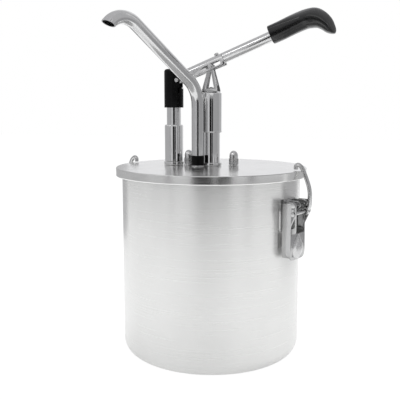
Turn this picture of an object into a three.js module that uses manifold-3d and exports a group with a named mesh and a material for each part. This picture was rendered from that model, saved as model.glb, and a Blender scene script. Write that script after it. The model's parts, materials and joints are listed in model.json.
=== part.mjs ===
// Sauce portion dispenser: a round steel pot, a clamped lid and a lever pump with a swan-neck spout.
// Millimetres, +Z up, origin at the middle of the pot's base, +X from the post towards the grip.
import * as THREE from "three";
import { mergeVertices } from "three/addons/utils/BufferGeometryUtils.js";
import Module from "manifold-3d";

const wasm = await Module();
wasm.setup();

// Fits and facets
const gap = 0.3;
const overrun = 1;
const weld = 1e-4;
const chamfer = 0.6;
const wideSides = 36;
const roundSides = 16;
const smallSides = 10;
const riserBendSteps = 6;
const nozzleBendSteps = 8;

// Pot
const potRadius = 88;
const potHeight = 181.8;
const potWall = 1.2;
const potCorner = 13;
const rimRoll = 1.8;
const gasketThickness = 2;
const gasketWidth = 5.4;
const gasketLip = 5;
const gasketLipWall = 1.6;

// Lid
const lidOverhang = 6;
const lidRadius = potRadius + lidOverhang;
const lidSheet = 1.2;
const lidSkirt = 8.7;
const lidEdgeRound = 1.6;
const panelInset = 22;
const panelRadius = lidRadius - panelInset;
const panelRise = 0.7;
const panelSlope = 1.4;

// Heights shared by everything that stands on the lid
const lidTop = potHeight + gap + gasketThickness + gap + lidSheet + panelRise;
const onLid = lidTop + gap;
const lidUnderside = lidTop - lidSheet;

// Post, its cap and the lever's pivot
const postReach = 38.6;
const postRadius = 9.25;
const postHeight = 36.3;
const postWall = 1.85;
const postShoulder = 1.5;
const postPlug = 12;
const postWasherRadius = 10;
const postWasherThickness = 3.2;
const innerPostRadius = 7.1;
const innerPostWall = 1.2;
const innerPostLength = 55;
const postScrewRadius = 4;
const postScrewFlats = 12;
const postScrewHead = 4.5;
const capRadius = 9.6;
const capBase = 57;
const capHeight = 37.7;
const capEdgeRound = 2.6;
const capFloor = 3.7;
const capSlotDepth = 19;
const capBackWall = 6.6;
const capSlitWidth = 2.2;
const capSlitAngle = 43;
const pivotReach = 33.5;
const pivotRise = 83.7;
const pivotPinRadius = 2;
const pivotPinLength = 17;

// Lever: a bent-up channel on the pivot, a tube screwed into it and a moulded grip
const leverSlope = 22.5;
const leverOffset = 1.78;
const leverTubeRadius = 5.1;
const leverTubeWall = 1;
const channelStart = 5.6;
const channelReach = 50.2;
const channelWall = 1;
const channelEase = 0.1;
const channelDepthAtPivot = 10.4;
const channelDepthAtEnd = 12.1;
const channelHeel = 4.2;
const slotAhead = 9;
const slotPlay = 0.6;
const tongueLength = 19;
const tongueFlat = 0.6;
const leverScrewReach = 44.9;
const leverScrewRadius = 2.25;
const leverScrewHead = 1.9;
const leverScrewDomeShares = [0.7, 0.9];
const leverScrewShank = 1.3;
const leverScrewLength = 3.4;
const gripReach = 100.2;
const gripSocket = 8.3;
const leverTubeEnd = gripReach + gripSocket;
const gripLength = 55.1;
const gripRadius = 9;
const gripDrop = 22.8;
const gripRise = 1.19;
const gripWidth = 11.6;

// Plunger: sleeve, yoke, rod and piston
const pinRise = 13;
const pinRadius = 1.5;
const pinHeadRadius = 2.3;
const pinHeadThickness = 0.7;
const sleeveRise = 32.7;
const sleeveRadius = 10.4;
const sleeveWall = 1.35;
const sleeveLength = 38.5;
const sleeveBead = 0.5;
const sleeveBeadHeight = 1.6;
const sleeveCapThickness = 4.5;
const yokeSheet = 1.3;
const yokeHalfLength = 7.5;
const yokeHalfWidth = 7.3;
const yokeNeck = 5.2;
const yokeTip = 2.2;
const yokeStrip = 1.5;
const yokeFoot = 1.6;
const yokeNutFlats = 7;
const yokeNutHeight = 3.6;
const rodRadius = 4;
const rodNeck = 2.5;
const rodFoot = 3;
const pistonRadius = 14.2;
const pistonHeight = 10;
const pistonRest = 26;
const sealHeight = 3.4;
const sealDepth = 2;
const pistonNutFlats = 11;
const pistonNutHeight = 4.7;
const rodEnd = 1.8;

// Guide tube and return spring
const guideRadius = 8.75;
const guideWall = 1.25;
const guideOverlap = 11;
const guideShoulderRadius = 5;
const guideShoulderHeight = 6;
const guideShoulderRise = 3.7;
const guideWasherRadius = 10.7;
const guideWasherThickness = 2.9;
const guideNutRadius = 11.1;
const guideNutHeight = 6;
const springRadius = 5.8;
const springWire = 0.8;
const springTurns = 8;
const springSteps = 8;
const springSides = 5;

// Pump below the lid
const barrelRadius = 16.5;
const barrelWall = 1.5;
const barrelFoot = 22;
const barrelLength = 74;
const barrelCapHeight = 6;
const barrelCapSpigot = 4;
const guideSocket = 3;
const bushRadius = 7;
const bushHeight = 5;
const valveFoot = 8;
const valveRadius = 19;
const valveSocket = 8;
const inletRadius = 5;
const seatRise = 3;
const chamberRadius = 8;
const ballRadius = 6;
const cageThickness = 2;
const cageHoleRadius = 2.6;
const cageHoles = 5;
const cageHoleReach = 7.84;
const passageRadius = 3.4;
const bossRadius = 8.6;

// Head plate, its bolts and the cap nuts on the lid
const headPlateRadius = 50;
const headPlateThickness = 3;
const boltReach = 23;
const boltRadius = 3;
const boltFlats = 10;
const boltHead = 3.5;
const boltTop = 10;
const capNutHeight = 14;
const capNutCollar = 4.75;
const capNutCollarHeight = 5.6;
const capNutDome = 4.3;
const thinWasher = 0.7;
const capNutWasherRadius = 5.2;

// Spout and its discharge pipe
const riserX = -9.6;
const riserY = -14.6;
const tubeRadius = 6;
const tubeWall = 1;
const riserBendStart = 59.7;
const riserBendRadius = 29;
const spoutSlope = 36.3;
const spoutHeading = 240;
const spoutTopReach = 88.5;
const spoutTopRise = 134.1;
const nozzleBendRadius = 22;
const nozzleDrop = 55;
const nozzleReach = 104.15;
const nozzleRise = 127.7;
const nozzleCut = 4;
const spigotRadius = 4.6;
const spigotLength = 10;
const collarRadius = 6.25;
const collarHeight = 9.4;
const riserWasherRadius = 6.45;
const jogStart = 139;
const jogEnd = 164;
const pipeSeat = 6;

// Over-centre latches
const latchAngle = -20;
const latchBaseHalf = 11.5;
const latchBaseSheet = 1.5;
const latchBaseDrop = 21.3;
const latchBaseHeight = 29.5;
const latchBaseTop = potHeight - latchBaseDrop;
const latchBaseBottom = latchBaseTop - latchBaseHeight;
const lugSpan = 6.3;
const lugSheet = 1.5;
const lugDepth = 11.5;
const lugRound = 3.3;
const fulcrumReach = 12;
const fulcrumDrop = 4;
const fulcrumHeight = latchBaseTop - fulcrumDrop;
const lugBottom = fulcrumHeight - lugDepth;
const fulcrumRadius = 1.2;
const fulcrumHeadRadius = 2.4;
const hookPinDrop = 8;
const hookPinRadius = 1.5;
const hookPinHeadRadius = 2.1;
const leverHalf = 14.5;
const leverSheet = 1.2;
const latchLeverLength = 51.8;
const leverBottom = fulcrumHeight - latchLeverLength;
const leverBack = 1.2;
const leverDepth = 9.7;
const leverWebHeight = 23.9;
const leverWebTop = leverBottom + leverWebHeight;
const leverEar = 3;
const leverCorner = 6;
const leverTopRound = 2.6;
const windowRadius = 7;
const windowRim = 1.9;
const windowLip = 1.4;
const rivetRadius = 3.2;
const rivetShank = 1.6;
const rivetHeight = 1.6;
const rivetDomeShares = [[0.85, 0.6], [0.5, 0.93]];
const rivetUpperDrop = 8.5;
const rivetLowerRise = 6;
const rivetUpper = latchBaseTop - rivetUpperDrop;
const rivetLower = latchBaseBottom + rivetLowerRise;
const hookOffset = 11;
const hookWire = 2;
const hookEye = 3.6;
const hookBow = 3.6;
const hookBowRise = 5.76;
const hookRise = 4.4;
const hookTop = onLid + hookRise;
const hookBend = 4.4;
const hookTipInset = 7;
const pinHead = 0.8;

// Finishes
const steel = { color: 0xc9ccd0, metalness: 1, roughness: 0.28 };
const polished = { color: 0xdfe2e6, metalness: 1, roughness: 0.12 };
const blackPlastic = { color: 0x17181a, metalness: 0, roughness: 0.38 };
const paleNylon = { color: 0xe6e4dc, metalness: 0, roughness: 0.5 };
const rubber = { color: 0x2a2a2c, metalness: 0, roughness: 0.8 };

const radians = THREE.MathUtils.degToRad;
const halfTurn = Math.PI;
const quarterTurn = Math.PI / 2;
const fullTurn = Math.PI * 2;

// A closed solid whose shared vertices are merged, ready to cut or join.
function solidFrom(geometry) {
  const bare = geometry.index ? geometry.toNonIndexed() : geometry.clone();
  bare.deleteAttribute("normal");
  bare.deleteAttribute("uv");
  const merged = mergeVertices(bare, weld);
  const vertProperties = merged.attributes.position.array;
  const triVerts = new Uint32Array(merged.index.array);
  return new wasm.Manifold(new wasm.Mesh({ numProp: 3, vertProperties, triVerts }));
}

// The geometry of a cut or joined solid.
function geometryFrom(solid) {
  const mesh = solid.getMesh();
  const geometry = new THREE.BufferGeometry();
  geometry.setAttribute("position", new THREE.BufferAttribute(mesh.vertProperties, 3));
  geometry.setIndex(new THREE.BufferAttribute(mesh.triVerts, 1));
  geometry.computeVertexNormals();
  return geometry;
}

// One geometry with others cut out of it.
function cut(geometry, ...cutters) {
  let solid = solidFrom(geometry);
  for (const cutter of cutters) solid = solid.subtract(solidFrom(cutter));
  return geometryFrom(solid);
}

// One geometry made of several that meet.
function join(geometry, ...others) {
  let solid = solidFrom(geometry);
  for (const other of others) solid = solid.add(solidFrom(other));
  return geometryFrom(solid);
}

// The part that two geometries share.
function common(geometry, other) {
  return geometryFrom(solidFrom(geometry).intersect(solidFrom(other)));
}

// A revolve about Z of an outline of [radius, height] points, closed on itself or on the axis.
function revolve(outline, sides = roundSides) {
  const points = outline.map(([radius, height]) => new THREE.Vector2(radius, height));
  if (THREE.ShapeUtils.area(points) < 0) points.reverse();
  const ends = [points[0], points[points.length - 1]];
  if (ends.some((end) => end.x > 0)) points.push(points[0].clone());
  return new THREE.LatheGeometry(points, sides).rotateX(quarterTurn);
}

// A ring between two radii and two heights.
function ring(outer, inner, bottom, top, sides = roundSides) {
  return revolve([[inner, bottom], [outer, bottom], [outer, top], [inner, top]], sides);
}

// A solid round between two heights.
function round(radius, bottom, top, sides = roundSides) {
  return revolve([[0, bottom], [radius, bottom], [radius, top], [0, top]], sides);
}

// A round bar along Y between two distances, through the point x, z.
function crossBar(radius, from, to, x, z, sides = smallSides) {
  return round(radius, from, to, sides).rotateX(-quarterTurn).translate(x, 0, z);
}

// Points of an arc about x, z from one angle to another, in degrees.
function arc(x, z, radius, from, to, steps) {
  const points = [];
  for (let step = 0; step <= steps; step += 1) {
    const angle = radians(from + ((to - from) * step) / steps);
    points.push([x + radius * Math.cos(angle), z + radius * Math.sin(angle)]);
  }
  return points;
}

// A flat shape from [x, y] points, with round holes.
function flat(points, holes = []) {
  const shape = new THREE.Shape(points.map(([x, y]) => new THREE.Vector2(x, y)));
  for (const [x, y, radius] of holes) {
    shape.holes.push(new THREE.Path().absarc(x, y, radius, 0, fullTurn, true));
  }
  return shape;
}

// A flat shape raised along Z between two heights.
function raise(shape, bottom, top, sides = smallSides) {
  const settings = { depth: top - bottom, bevelEnabled: false, curveSegments: sides };
  return new THREE.ExtrudeGeometry(shape, settings).translate(0, 0, bottom);
}

// A plate whose [x, z] outline runs along Y between two distances.
function plateAcross(points, from, to, holes = []) {
  return raise(flat(points, holes), -to, -from).rotateX(quarterTurn);
}

// A bar whose [y, z] outline runs along X between two distances.
function barAlong(points, from, to, sides = smallSides) {
  return raise(flat(points), from, to, sides).rotateX(quarterTurn).rotateZ(quarterTurn);
}

// A hexagon nut or head about Z, with a bore where the radius isn't zero.
function hexagon(flats, bore, bottom, top) {
  const corner = flats / 2 / Math.cos(quarterTurn / 3);
  const points = arc(0, 0, corner, 0, 300, 5);
  return raise(flat(points, bore > 0 ? [[0, 0, bore]] : []), bottom, top);
}

// A skin over rings of points, capped at both ends or closed round on itself.
function skin(rings, closed) {
  const count = rings[0].length;
  const positions = rings.flat().flatMap((point) => [point.x, point.y, point.z]);
  const index = [];
  const last = closed ? rings.length : rings.length - 1;
  for (let i = 0; i < last; i += 1) {
    const next = (i + 1) % rings.length;
    for (let j = 0; j < count; j += 1) {
      const k = (j + 1) % count;
      index.push(i * count + j, i * count + k, next * count + k);
      index.push(i * count + j, next * count + k, next * count + j);
    }
  }
  if (!closed) {
    const end = (rings.length - 1) * count;
    for (let j = 1; j < count - 1; j += 1) {
      index.push(0, j + 1, j);
      index.push(end, end + j, end + j + 1);
    }
  }
  const geometry = new THREE.BufferGeometry();
  geometry.setAttribute("position", new THREE.Float32BufferAttribute(positions, 3));
  geometry.setIndex(index);
  geometry.computeVertexNormals();
  return geometry;
}

// A ring of points about a place on a path that lies in the plane of along and up.
function hoop(station, radius, sides) {
  const rise = new THREE.Vector3().crossVectors(station.along, station.side);
  const points = [];
  for (let j = 0; j < sides; j += 1) {
    const angle = (fullTurn * j) / sides;
    const point = station.at.clone().addScaledVector(station.side, radius * Math.cos(angle));
    points.push(point.addScaledVector(rise, radius * Math.sin(angle)));
  }
  return points;
}

// Stations of a path in a vertical plane: [reach, height, slope] about a foot and a heading.
function stations(places, footX, footY, heading) {
  const outward = new THREE.Vector3(Math.cos(radians(heading)), Math.sin(radians(heading)), 0);
  const side = new THREE.Vector3(-outward.y, outward.x, 0);
  return places.map(([reach, height, slope]) => ({
    at: new THREE.Vector3(footX, footY, height).addScaledVector(outward, reach),
    along: outward
      .clone()
      .multiplyScalar(Math.cos(radians(slope)))
      .add(new THREE.Vector3(0, 0, Math.sin(radians(slope)))),
    side,
  }));
}

// A tube or, with no bore, a bar along stations.
function pipe(path, outer, bore, sides = roundSides) {
  const outside = path.map((station) => hoop(station, outer, sides));
  if (bore === 0) return skin(outside, false);
  const inside = path.map((station) => hoop(station, bore, sides)).reverse();
  return skin([...outside, ...inside], true);
}

// A named mesh with its own material.
function part(name, geometry, finish) {
  const mesh = new THREE.Mesh(geometry, new THREE.MeshStandardMaterial(finish));
  mesh.name = name;
  return mesh;
}

// The deep-drawn pot with its rolled rim.
function pot() {
  const rim = potHeight - rimRoll;
  const inner = potRadius - potWall;
  const outline = [
    [0, 0],
    ...arc(potRadius - potCorner, potCorner, potCorner, -90, 0, 5),
    ...arc(potRadius + rimRoll, rim, rimRoll, 180, 450, 5),
    [inner, potHeight],
    ...arc(potRadius - potCorner, potCorner, potCorner - potWall, 0, -90, 4),
    [0, potWall],
  ];
  return revolve(outline, wideSides);
}

// The lid's seal: a flat ring on the rim with a lip down inside the wall.
function lidGasket() {
  const base = potHeight + gap;
  const lip = potRadius - potWall - gap;
  const outline = [
    [lip - gasketLipWall, base - gasketLip],
    [lip, base - gasketLip],
    [lip, base],
    [lip + gasketWidth, base],
    [lip + gasketWidth, base + gasketThickness],
    [lip - gasketLipWall, base + gasketThickness],
  ];
  return revolve(outline, wideSides);
}

// The pressed lid with a raised panel, a skirt and holes for what stands on it.
function lid() {
  const rimTop = lidTop - panelRise;
  const outline = [
    [0, lidTop],
    [panelRadius - panelSlope, lidTop],
    [panelRadius, rimTop],
    ...arc(lidRadius - lidEdgeRound, rimTop - lidEdgeRound, lidEdgeRound, 90, 0, 3),
    [lidRadius, lidTop - lidSkirt],
    [lidRadius - lidSheet, lidTop - lidSkirt],
    [lidRadius - lidSheet, rimTop - lidSheet],
    [panelRadius - lidSheet / 2, rimTop - lidSheet],
    [panelRadius - panelSlope - lidSheet / 2, lidUnderside],
    [0, lidUnderside],
  ];
  return cut(revolve(outline, wideSides), ...headHoles(lidUnderside - overrun, lidTop + overrun));
}

// Cutters for the holes that the lid and the head plate share.
function headHoles(bottom, top) {
  return [
    round(guideRadius + gap, bottom, top),
    round(tubeRadius + gap, bottom, top).translate(riserX, riserY, 0),
    round(boltRadius + gap, bottom, top, smallSides).translate(boltReach, 0, 0),
    round(boltRadius + gap, bottom, top, smallSides).translate(-boltReach, 0, 0),
    round(postScrewRadius + gap, bottom, top, smallSides).translate(-postReach, 0, 0),
  ];
}

// The stiffening disc under the lid that the pump hangs from.
function headPlate() {
  const top = lidUnderside - gap;
  const bottom = top - headPlateThickness;
  const disc = round(headPlateRadius, bottom, top, wideSides / 2);
  return cut(disc, ...headHoles(bottom - overrun, top + overrun));
}

const plateUnderside = lidUnderside - gap - headPlateThickness;

// A hexagon bolt up through the plate and the lid.
function bolt(radius, flats, head, top) {
  const under = plateUnderside - gap;
  return join(hexagon(flats, 0, under - head, under), round(radius, under - head / 2, top, smallSides));
}

// The domed nut on a bolt, with its collar.
function capNut() {
  const base = onLid + thinWasher + gap;
  const top = base + capNutHeight;
  const bore = boltRadius + gap;
  const outline = [
    [bore, base],
    [capNutCollar, base],
    [capNutCollar, base + capNutCollarHeight - gap],
    [capNutDome, base + capNutCollarHeight],
    ...arc(0, top - capNutDome, capNutDome, 0, 90, 5),
    [0, onLid + boltTop + gap * 2],
    [bore, onLid + boltTop + gap * 2],
  ];
  return revolve(outline, smallSides);
}

// Post
const postFoot = onLid + postWasherThickness + gap;
const postTop = postFoot + postHeight;
const innerPostBase = postFoot + postPlug + gap;

function postTube() {
  const inside = postRadius - postWall;
  const bore = postScrewRadius + gap;
  const outline = [
    [bore, postFoot],
    [postRadius, postFoot],
    ...arc(postRadius - postShoulder, postTop - postShoulder, postShoulder, 0, 90, 4),
    [inside, postTop],
    [inside, postFoot + postPlug],
    [bore, postFoot + postPlug],
  ];
  return revolve(outline);
}

function innerPostTube() {
  const top = innerPostBase + innerPostLength;
  return ring(innerPostRadius, innerPostRadius - innerPostWall, innerPostBase, top);
}

const pivotHeight = lidTop + pivotRise;
const capBottom = lidTop + capBase;
const capTop = capBottom + capHeight;
const capSlotBottom = capTop - capSlotDepth;

// The black cap: a bored cylinder with a lever slot and two narrow slits down its front.
function postCap() {
  const bore = innerPostRadius + gap;
  const boreTop = capSlotBottom - capFloor;
  const outline = [
    [bore, capBottom],
    [capRadius, capBottom],
    ...arc(capRadius - capEdgeRound, capTop - capEdgeRound, capEdgeRound, 0, 90, 5),
    [0, capTop],
    [0, boreTop],
    [bore, boreTop],
  ];
  const half = leverTubeRadius + channelEase + gap;
  const back = capBackWall - capRadius;
  const slot = barAlong(
    [[-half, capSlotBottom], [half, capSlotBottom], [half, capTop + overrun], [-half, capTop + overrun]],
    back,
    capRadius + overrun,
  );
  const slits = [capSlitAngle, -capSlitAngle].map((angle) => {
    const halfSlit = capSlitWidth / 2;
    const low = capBottom - overrun;
    const high = capSlotBottom + overrun;
    const bar = barAlong(
      [[-halfSlit, low], [halfSlit, low], [halfSlit, high], [-halfSlit, high]],
      innerPostRadius - gap,
      capRadius + overrun,
    );
    return bar.rotateZ(radians(angle));
  });
  const pinHole = crossBar(
    pivotPinRadius + gap,
    -capRadius - overrun,
    capRadius + overrun,
    postReach - pivotReach,
    pivotHeight,
  );
  return cut(revolve(outline, wideSides / 2), slot, ...slits, pinHole);
}

function post(group) {
  const washerTop = onLid + postWasherThickness;
  const screwTop = postFoot + postPlug - gap;
  const onPost = new THREE.Group();
  onPost.position.x = -postReach;
  onPost.add(
    part("post_washer", ring(postWasherRadius, postScrewRadius + gap, onLid, washerTop), polished),
    part("post_tube", postTube(), polished),
    part("post_inner_tube", innerPostTube(), polished),
    part("post_cap", postCap(), blackPlastic),
    part("post_screw", bolt(postScrewRadius, postScrewFlats, postScrewHead, screwTop), steel),
  );
  const half = pivotPinLength / 2;
  const pin = crossBar(pivotPinRadius, -half, half, -pivotReach, pivotHeight);
  group.add(onPost, part("pivot_pin", pin, polished));
}

// Plunger
const pinHeight = pivotHeight + pinRise;
const sleeveBottom = lidTop + sleeveRise;
const sleeveTop = sleeveBottom + sleeveLength;
const yokeBase = sleeveTop + gap;
const channelHalf = leverTubeRadius + channelEase;
const earOuter = channelHalf - channelWall - gap;

function plungerSleeve() {
  const bore = sleeveRadius - sleeveWall;
  const outline = [
    [bore, sleeveBottom],
    [sleeveRadius + sleeveBead, sleeveBottom],
    [sleeveRadius + sleeveBead, sleeveBottom + sleeveBeadHeight],
    [sleeveRadius, sleeveBottom + sleeveBeadHeight + sleeveBead],
    [sleeveRadius, sleeveTop],
    [bore, sleeveTop],
  ];
  return revolve(outline);
}

function sleeveCap() {
  const radius = sleeveRadius - sleeveWall - gap;
  return ring(radius, rodNeck + gap, sleeveTop - sleeveCapThickness, sleeveTop);
}

// The yoke: one folded strip whose two windowed ears lean in to the lever's pin.
function yoke() {
  const top = pinHeight + yokeTip;
  const neck = pinHeight - yokeNeck;
  const inner = earOuter - yokeSheet;
  const floor = yokeBase + yokeSheet;
  const foot = yokeHalfWidth - yokeSheet;
  const fold = [
    [-yokeHalfWidth, yokeBase],
    [yokeHalfWidth, yokeBase],
    [earOuter, neck],
    [earOuter, top + overrun],
    [inner, top + overrun],
    [inner, neck],
    [foot, floor],
    [-foot, floor],
    [-inner, neck],
    [-inner, top + overrun],
    [-earOuter, top + overrun],
    [-earOuter, neck],
  ];
  const shoulder = floor + yokeFoot;
  const outside = [
    [-yokeHalfLength, yokeBase - overrun],
    [yokeHalfLength, yokeBase - overrun],
    [yokeHalfLength, shoulder],
    ...arc(0, pinHeight, yokeTip, 15, 165, 8),
    [-yokeHalfLength, shoulder],
  ];
  const windowTop = pinHeight - yokeTip - yokeStrip * 2;
  const windowHalf = yokeHalfLength - yokeStrip * 2;
  const opening = [
    [-windowHalf, shoulder + yokeStrip / 2],
    [windowHalf, shoulder + yokeStrip / 2],
    [yokeStrip / 2, windowTop],
    [-yokeStrip / 2, windowTop],
  ];
  const wide = yokeHalfWidth + overrun;
  const folded = barAlong(fold, -yokeHalfLength, yokeHalfLength);
  const trimmed = common(folded, plateAcross(outside, -wide, wide));
  return cut(
    trimmed,
    plateAcross(opening, -wide, wide),
    crossBar(pinRadius + gap, -wide, wide, 0, pinHeight),
    round(rodNeck + gap, yokeBase - overrun, floor + overrun, smallSides),
  );
}

function yokePin() {
  const half = channelHalf + gap;
  const shank = crossBar(pinRadius, -half, half, 0, pinHeight);
  const heads = [-half - pinHeadThickness, half].map((from) =>
    crossBar(pinHeadRadius, from, from + pinHeadThickness, 0, pinHeight),
  );
  return join(shank, ...heads);
}

const guideBottom = barrelFoot + gap + barrelLength + gap + barrelCapHeight - guideSocket;
const pistonBottom = barrelFoot + gap + barrelLength - pistonRest - pistonHeight;
const pistonTop = pistonBottom + pistonHeight;

// The rod, stepped down at the piston and again through the sleeve's cap and the yoke.
function pistonRod() {
  const step = sleeveTop - sleeveCapThickness - gap;
  const top = yokeBase + yokeSheet + yokeNutHeight;
  const foot = pistonBottom - gap - pistonNutHeight - rodEnd;
  const outline = [
    [0, foot],
    [rodFoot, foot],
    [rodFoot, pistonTop + gap],
    [rodRadius, pistonTop + gap],
    [rodRadius, step],
    [rodNeck, step],
    [rodNeck, top],
    [0, top],
  ];
  return revolve(outline, smallSides);
}

// The domed nut between the ears that holds the rod to the yoke.
function yokeNut() {
  const base = yokeBase + yokeSheet + gap;
  const bore = rodNeck + gap;
  const body = hexagon(yokeNutFlats, 0, base, base + yokeNutHeight);
  return cut(body, round(bore, base - overrun, base + yokeNutHeight + overrun, smallSides));
}

function piston() {
  const middle = (pistonBottom + pistonTop) / 2;
  const groove = sealHeight / 2 + gap;
  const bore = rodFoot + gap;
  const outline = [
    [bore, pistonBottom],
    [pistonRadius, pistonBottom],
    [pistonRadius, middle - groove],
    [pistonRadius - sealDepth, middle - groove],
    [pistonRadius - sealDepth, middle + groove],
    [pistonRadius, middle + groove],
    [pistonRadius, pistonTop],
    [bore, pistonTop],
  ];
  return revolve(outline);
}

function pistonSeal() {
  const middle = (pistonBottom + pistonTop) / 2;
  const outer = barrelRadius - barrelWall - gap;
  return ring(outer, pistonRadius - sealDepth + gap, middle - sealHeight / 2, middle + sealHeight / 2);
}

function pistonNut() {
  const top = pistonBottom - gap;
  return hexagon(pistonNutFlats, rodFoot + gap, top - pistonNutHeight, top);
}

// Guide tube with the inner shoulder that the spring stands on.
const shoulderTop = lidTop + guideShoulderRise;

function guideTube() {
  const bore = guideRadius - guideWall;
  const top = sleeveBottom + guideOverlap;
  const outline = [
    [bore, guideBottom],
    [guideRadius, guideBottom],
    [guideRadius, top - guideWall / 2],
    [guideRadius - guideWall / 2, top],
    [bore, top],
    [bore, shoulderTop],
    [guideShoulderRadius, shoulderTop],
    [guideShoulderRadius, shoulderTop - guideShoulderHeight],
    [bore, shoulderTop - guideShoulderHeight],
  ];
  return revolve(outline);
}

function guideWasher() {
  const outline = [
    [guideRadius + gap, onLid],
    [guideWasherRadius, onLid],
    [guideWasherRadius, onLid + guideWasherThickness - chamfer],
    [guideWasherRadius - chamfer, onLid + guideWasherThickness],
    [guideRadius + gap, onLid + guideWasherThickness],
  ];
  return revolve(outline);
}

function guideNut() {
  const top = plateUnderside - gap;
  return ring(guideNutRadius, guideRadius + gap, top - guideNutHeight, top);
}

// The return spring: one unbroken helix with its ends resting on the shoulder and under the sleeve's cap.
function returnSpring() {
  const bottom = shoulderTop + gap + springWire;
  const top = sleeveTop - sleeveCapThickness - gap - springWire;
  const steps = springTurns * springSteps;
  const rings = [];
  for (let step = 0; step <= steps; step += 1) {
    const angle = (fullTurn * step) / springSteps;
    const out = new THREE.Vector3(Math.cos(angle), Math.sin(angle), 0);
    const centre = out.clone().multiplyScalar(springRadius);
    centre.z = bottom + ((top - bottom) * step) / steps;
    const points = [];
    for (let j = 0; j < springSides; j += 1) {
      const turn = (-fullTurn * j) / springSides;
      const point = centre.clone().addScaledVector(out, springWire * Math.cos(turn));
      point.z += springWire * Math.sin(turn);
      points.push(point);
    }
    rings.push(points);
  }
  const pitch = (top - bottom) / springTurns;
  console.log("least gap between the spring's turns:", (pitch - springWire * 2).toFixed(2), "mm");
  return skin(rings, false);
}

// Barrel and its cap
function barrelCap() {
  const base = barrelFoot + gap + barrelLength + gap;
  const top = base + barrelCapHeight;
  const spigot = barrelRadius - barrelWall - gap;
  const outline = [
    [bushRadius + gap, base - barrelCapSpigot],
    [spigot, base - barrelCapSpigot],
    [spigot, base],
    [barrelRadius, base],
    [barrelRadius, top - chamfer],
    [barrelRadius - chamfer, top],
    [guideRadius + gap, top],
    [guideRadius + gap, top - guideSocket - gap],
    [bushRadius + gap, top - guideSocket - gap],
  ];
  return revolve(outline);
}

function rodBush() {
  const base = barrelFoot + gap + barrelLength + gap - barrelCapSpigot;
  return ring(bushRadius, rodRadius + gap, base, base + bushHeight);
}

const pipeReach = barrelRadius + tubeRadius + gap * 2;
const riserReach = Math.hypot(riserX, riserY);
const riserHeading = THREE.MathUtils.radToDeg(Math.atan2(riserY, riserX));
const pipeX = pipeReach * Math.cos(radians(riserHeading));
const pipeY = pipeReach * Math.sin(radians(riserHeading));

// The inlet valve: a seat and chamber for the ball, a socket for the barrel and a boss for the pipe.
function inletValveBody() {
  const socketTop = barrelFoot + valveSocket;
  const seat = valveFoot + seatRise;
  const boss = round(bossRadius, valveFoot, barrelFoot).translate(pipeX, pipeY, 0);
  const body = join(round(valveRadius, valveFoot, socketTop), boss);
  const passageHeight = barrelFoot - passageRadius - gap;
  const passage = round(passageRadius, 0, pipeReach, smallSides)
    .rotateY(quarterTurn)
    .rotateZ(radians(riserHeading))
    .translate(0, 0, passageHeight);
  return cut(
    body,
    round(inletRadius, valveFoot - overrun, seat + overrun),
    round(chamberRadius, seat, barrelFoot + overrun),
    round(barrelRadius + gap, barrelFoot, socketTop + overrun),
    round(tubeRadius + gap, barrelFoot - pipeSeat, socketTop + overrun).translate(pipeX, pipeY, 0),
    passage,
  );
}

function inletBall() {
  const seat = valveFoot + seatRise;
  const lift = Math.sqrt((ballRadius + gap) ** 2 - inletRadius ** 2);
  return new THREE.SphereGeometry(ballRadius, smallSides, smallSides / 2).translate(0, 0, seat + lift);
}

function ballCage() {
  const holes = [];
  for (let i = 0; i < cageHoles; i += 1) {
    const angle = (fullTurn * i) / cageHoles;
    holes.push([cageHoleReach * Math.cos(angle), cageHoleReach * Math.sin(angle), cageHoleRadius]);
  }
  const radius = barrelRadius - barrelWall - gap;
  const base = barrelFoot + gap;
  const rim = [];
  for (let i = 0; i < roundSides; i += 1) {
    const angle = (fullTurn * i) / roundSides;
    rim.push([radius * Math.cos(angle), radius * Math.sin(angle)]);
  }
  return raise(flat(rim, holes), base, base + cageThickness, smallSides / 2);
}

// The pipe beside the barrel, with the jog that brings it in under the riser.
function dischargePipe() {
  const foot = barrelFoot - pipeSeat + gap;
  const top = lidTop;
  const places = [[pipeReach, foot, 90], [pipeReach, jogStart, 90]];
  const shift = riserReach - pipeReach;
  const steps = 6;
  for (let step = 1; step < steps; step += 1) {
    const share = step / steps;
    const ease = share * share * (3 - 2 * share);
    const lean = (6 * share * (1 - share) * shift) / (jogEnd - jogStart);
    const slope = 90 - THREE.MathUtils.radToDeg(Math.atan(lean));
    places.push([pipeReach + shift * ease, jogStart + (jogEnd - jogStart) * share, slope]);
  }
  places.push([riserReach, jogEnd, 90], [riserReach, top, 90]);
  return pipe(stations(places, 0, 0, riserHeading), tubeRadius, tubeRadius - tubeWall, smallSides);
}

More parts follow.
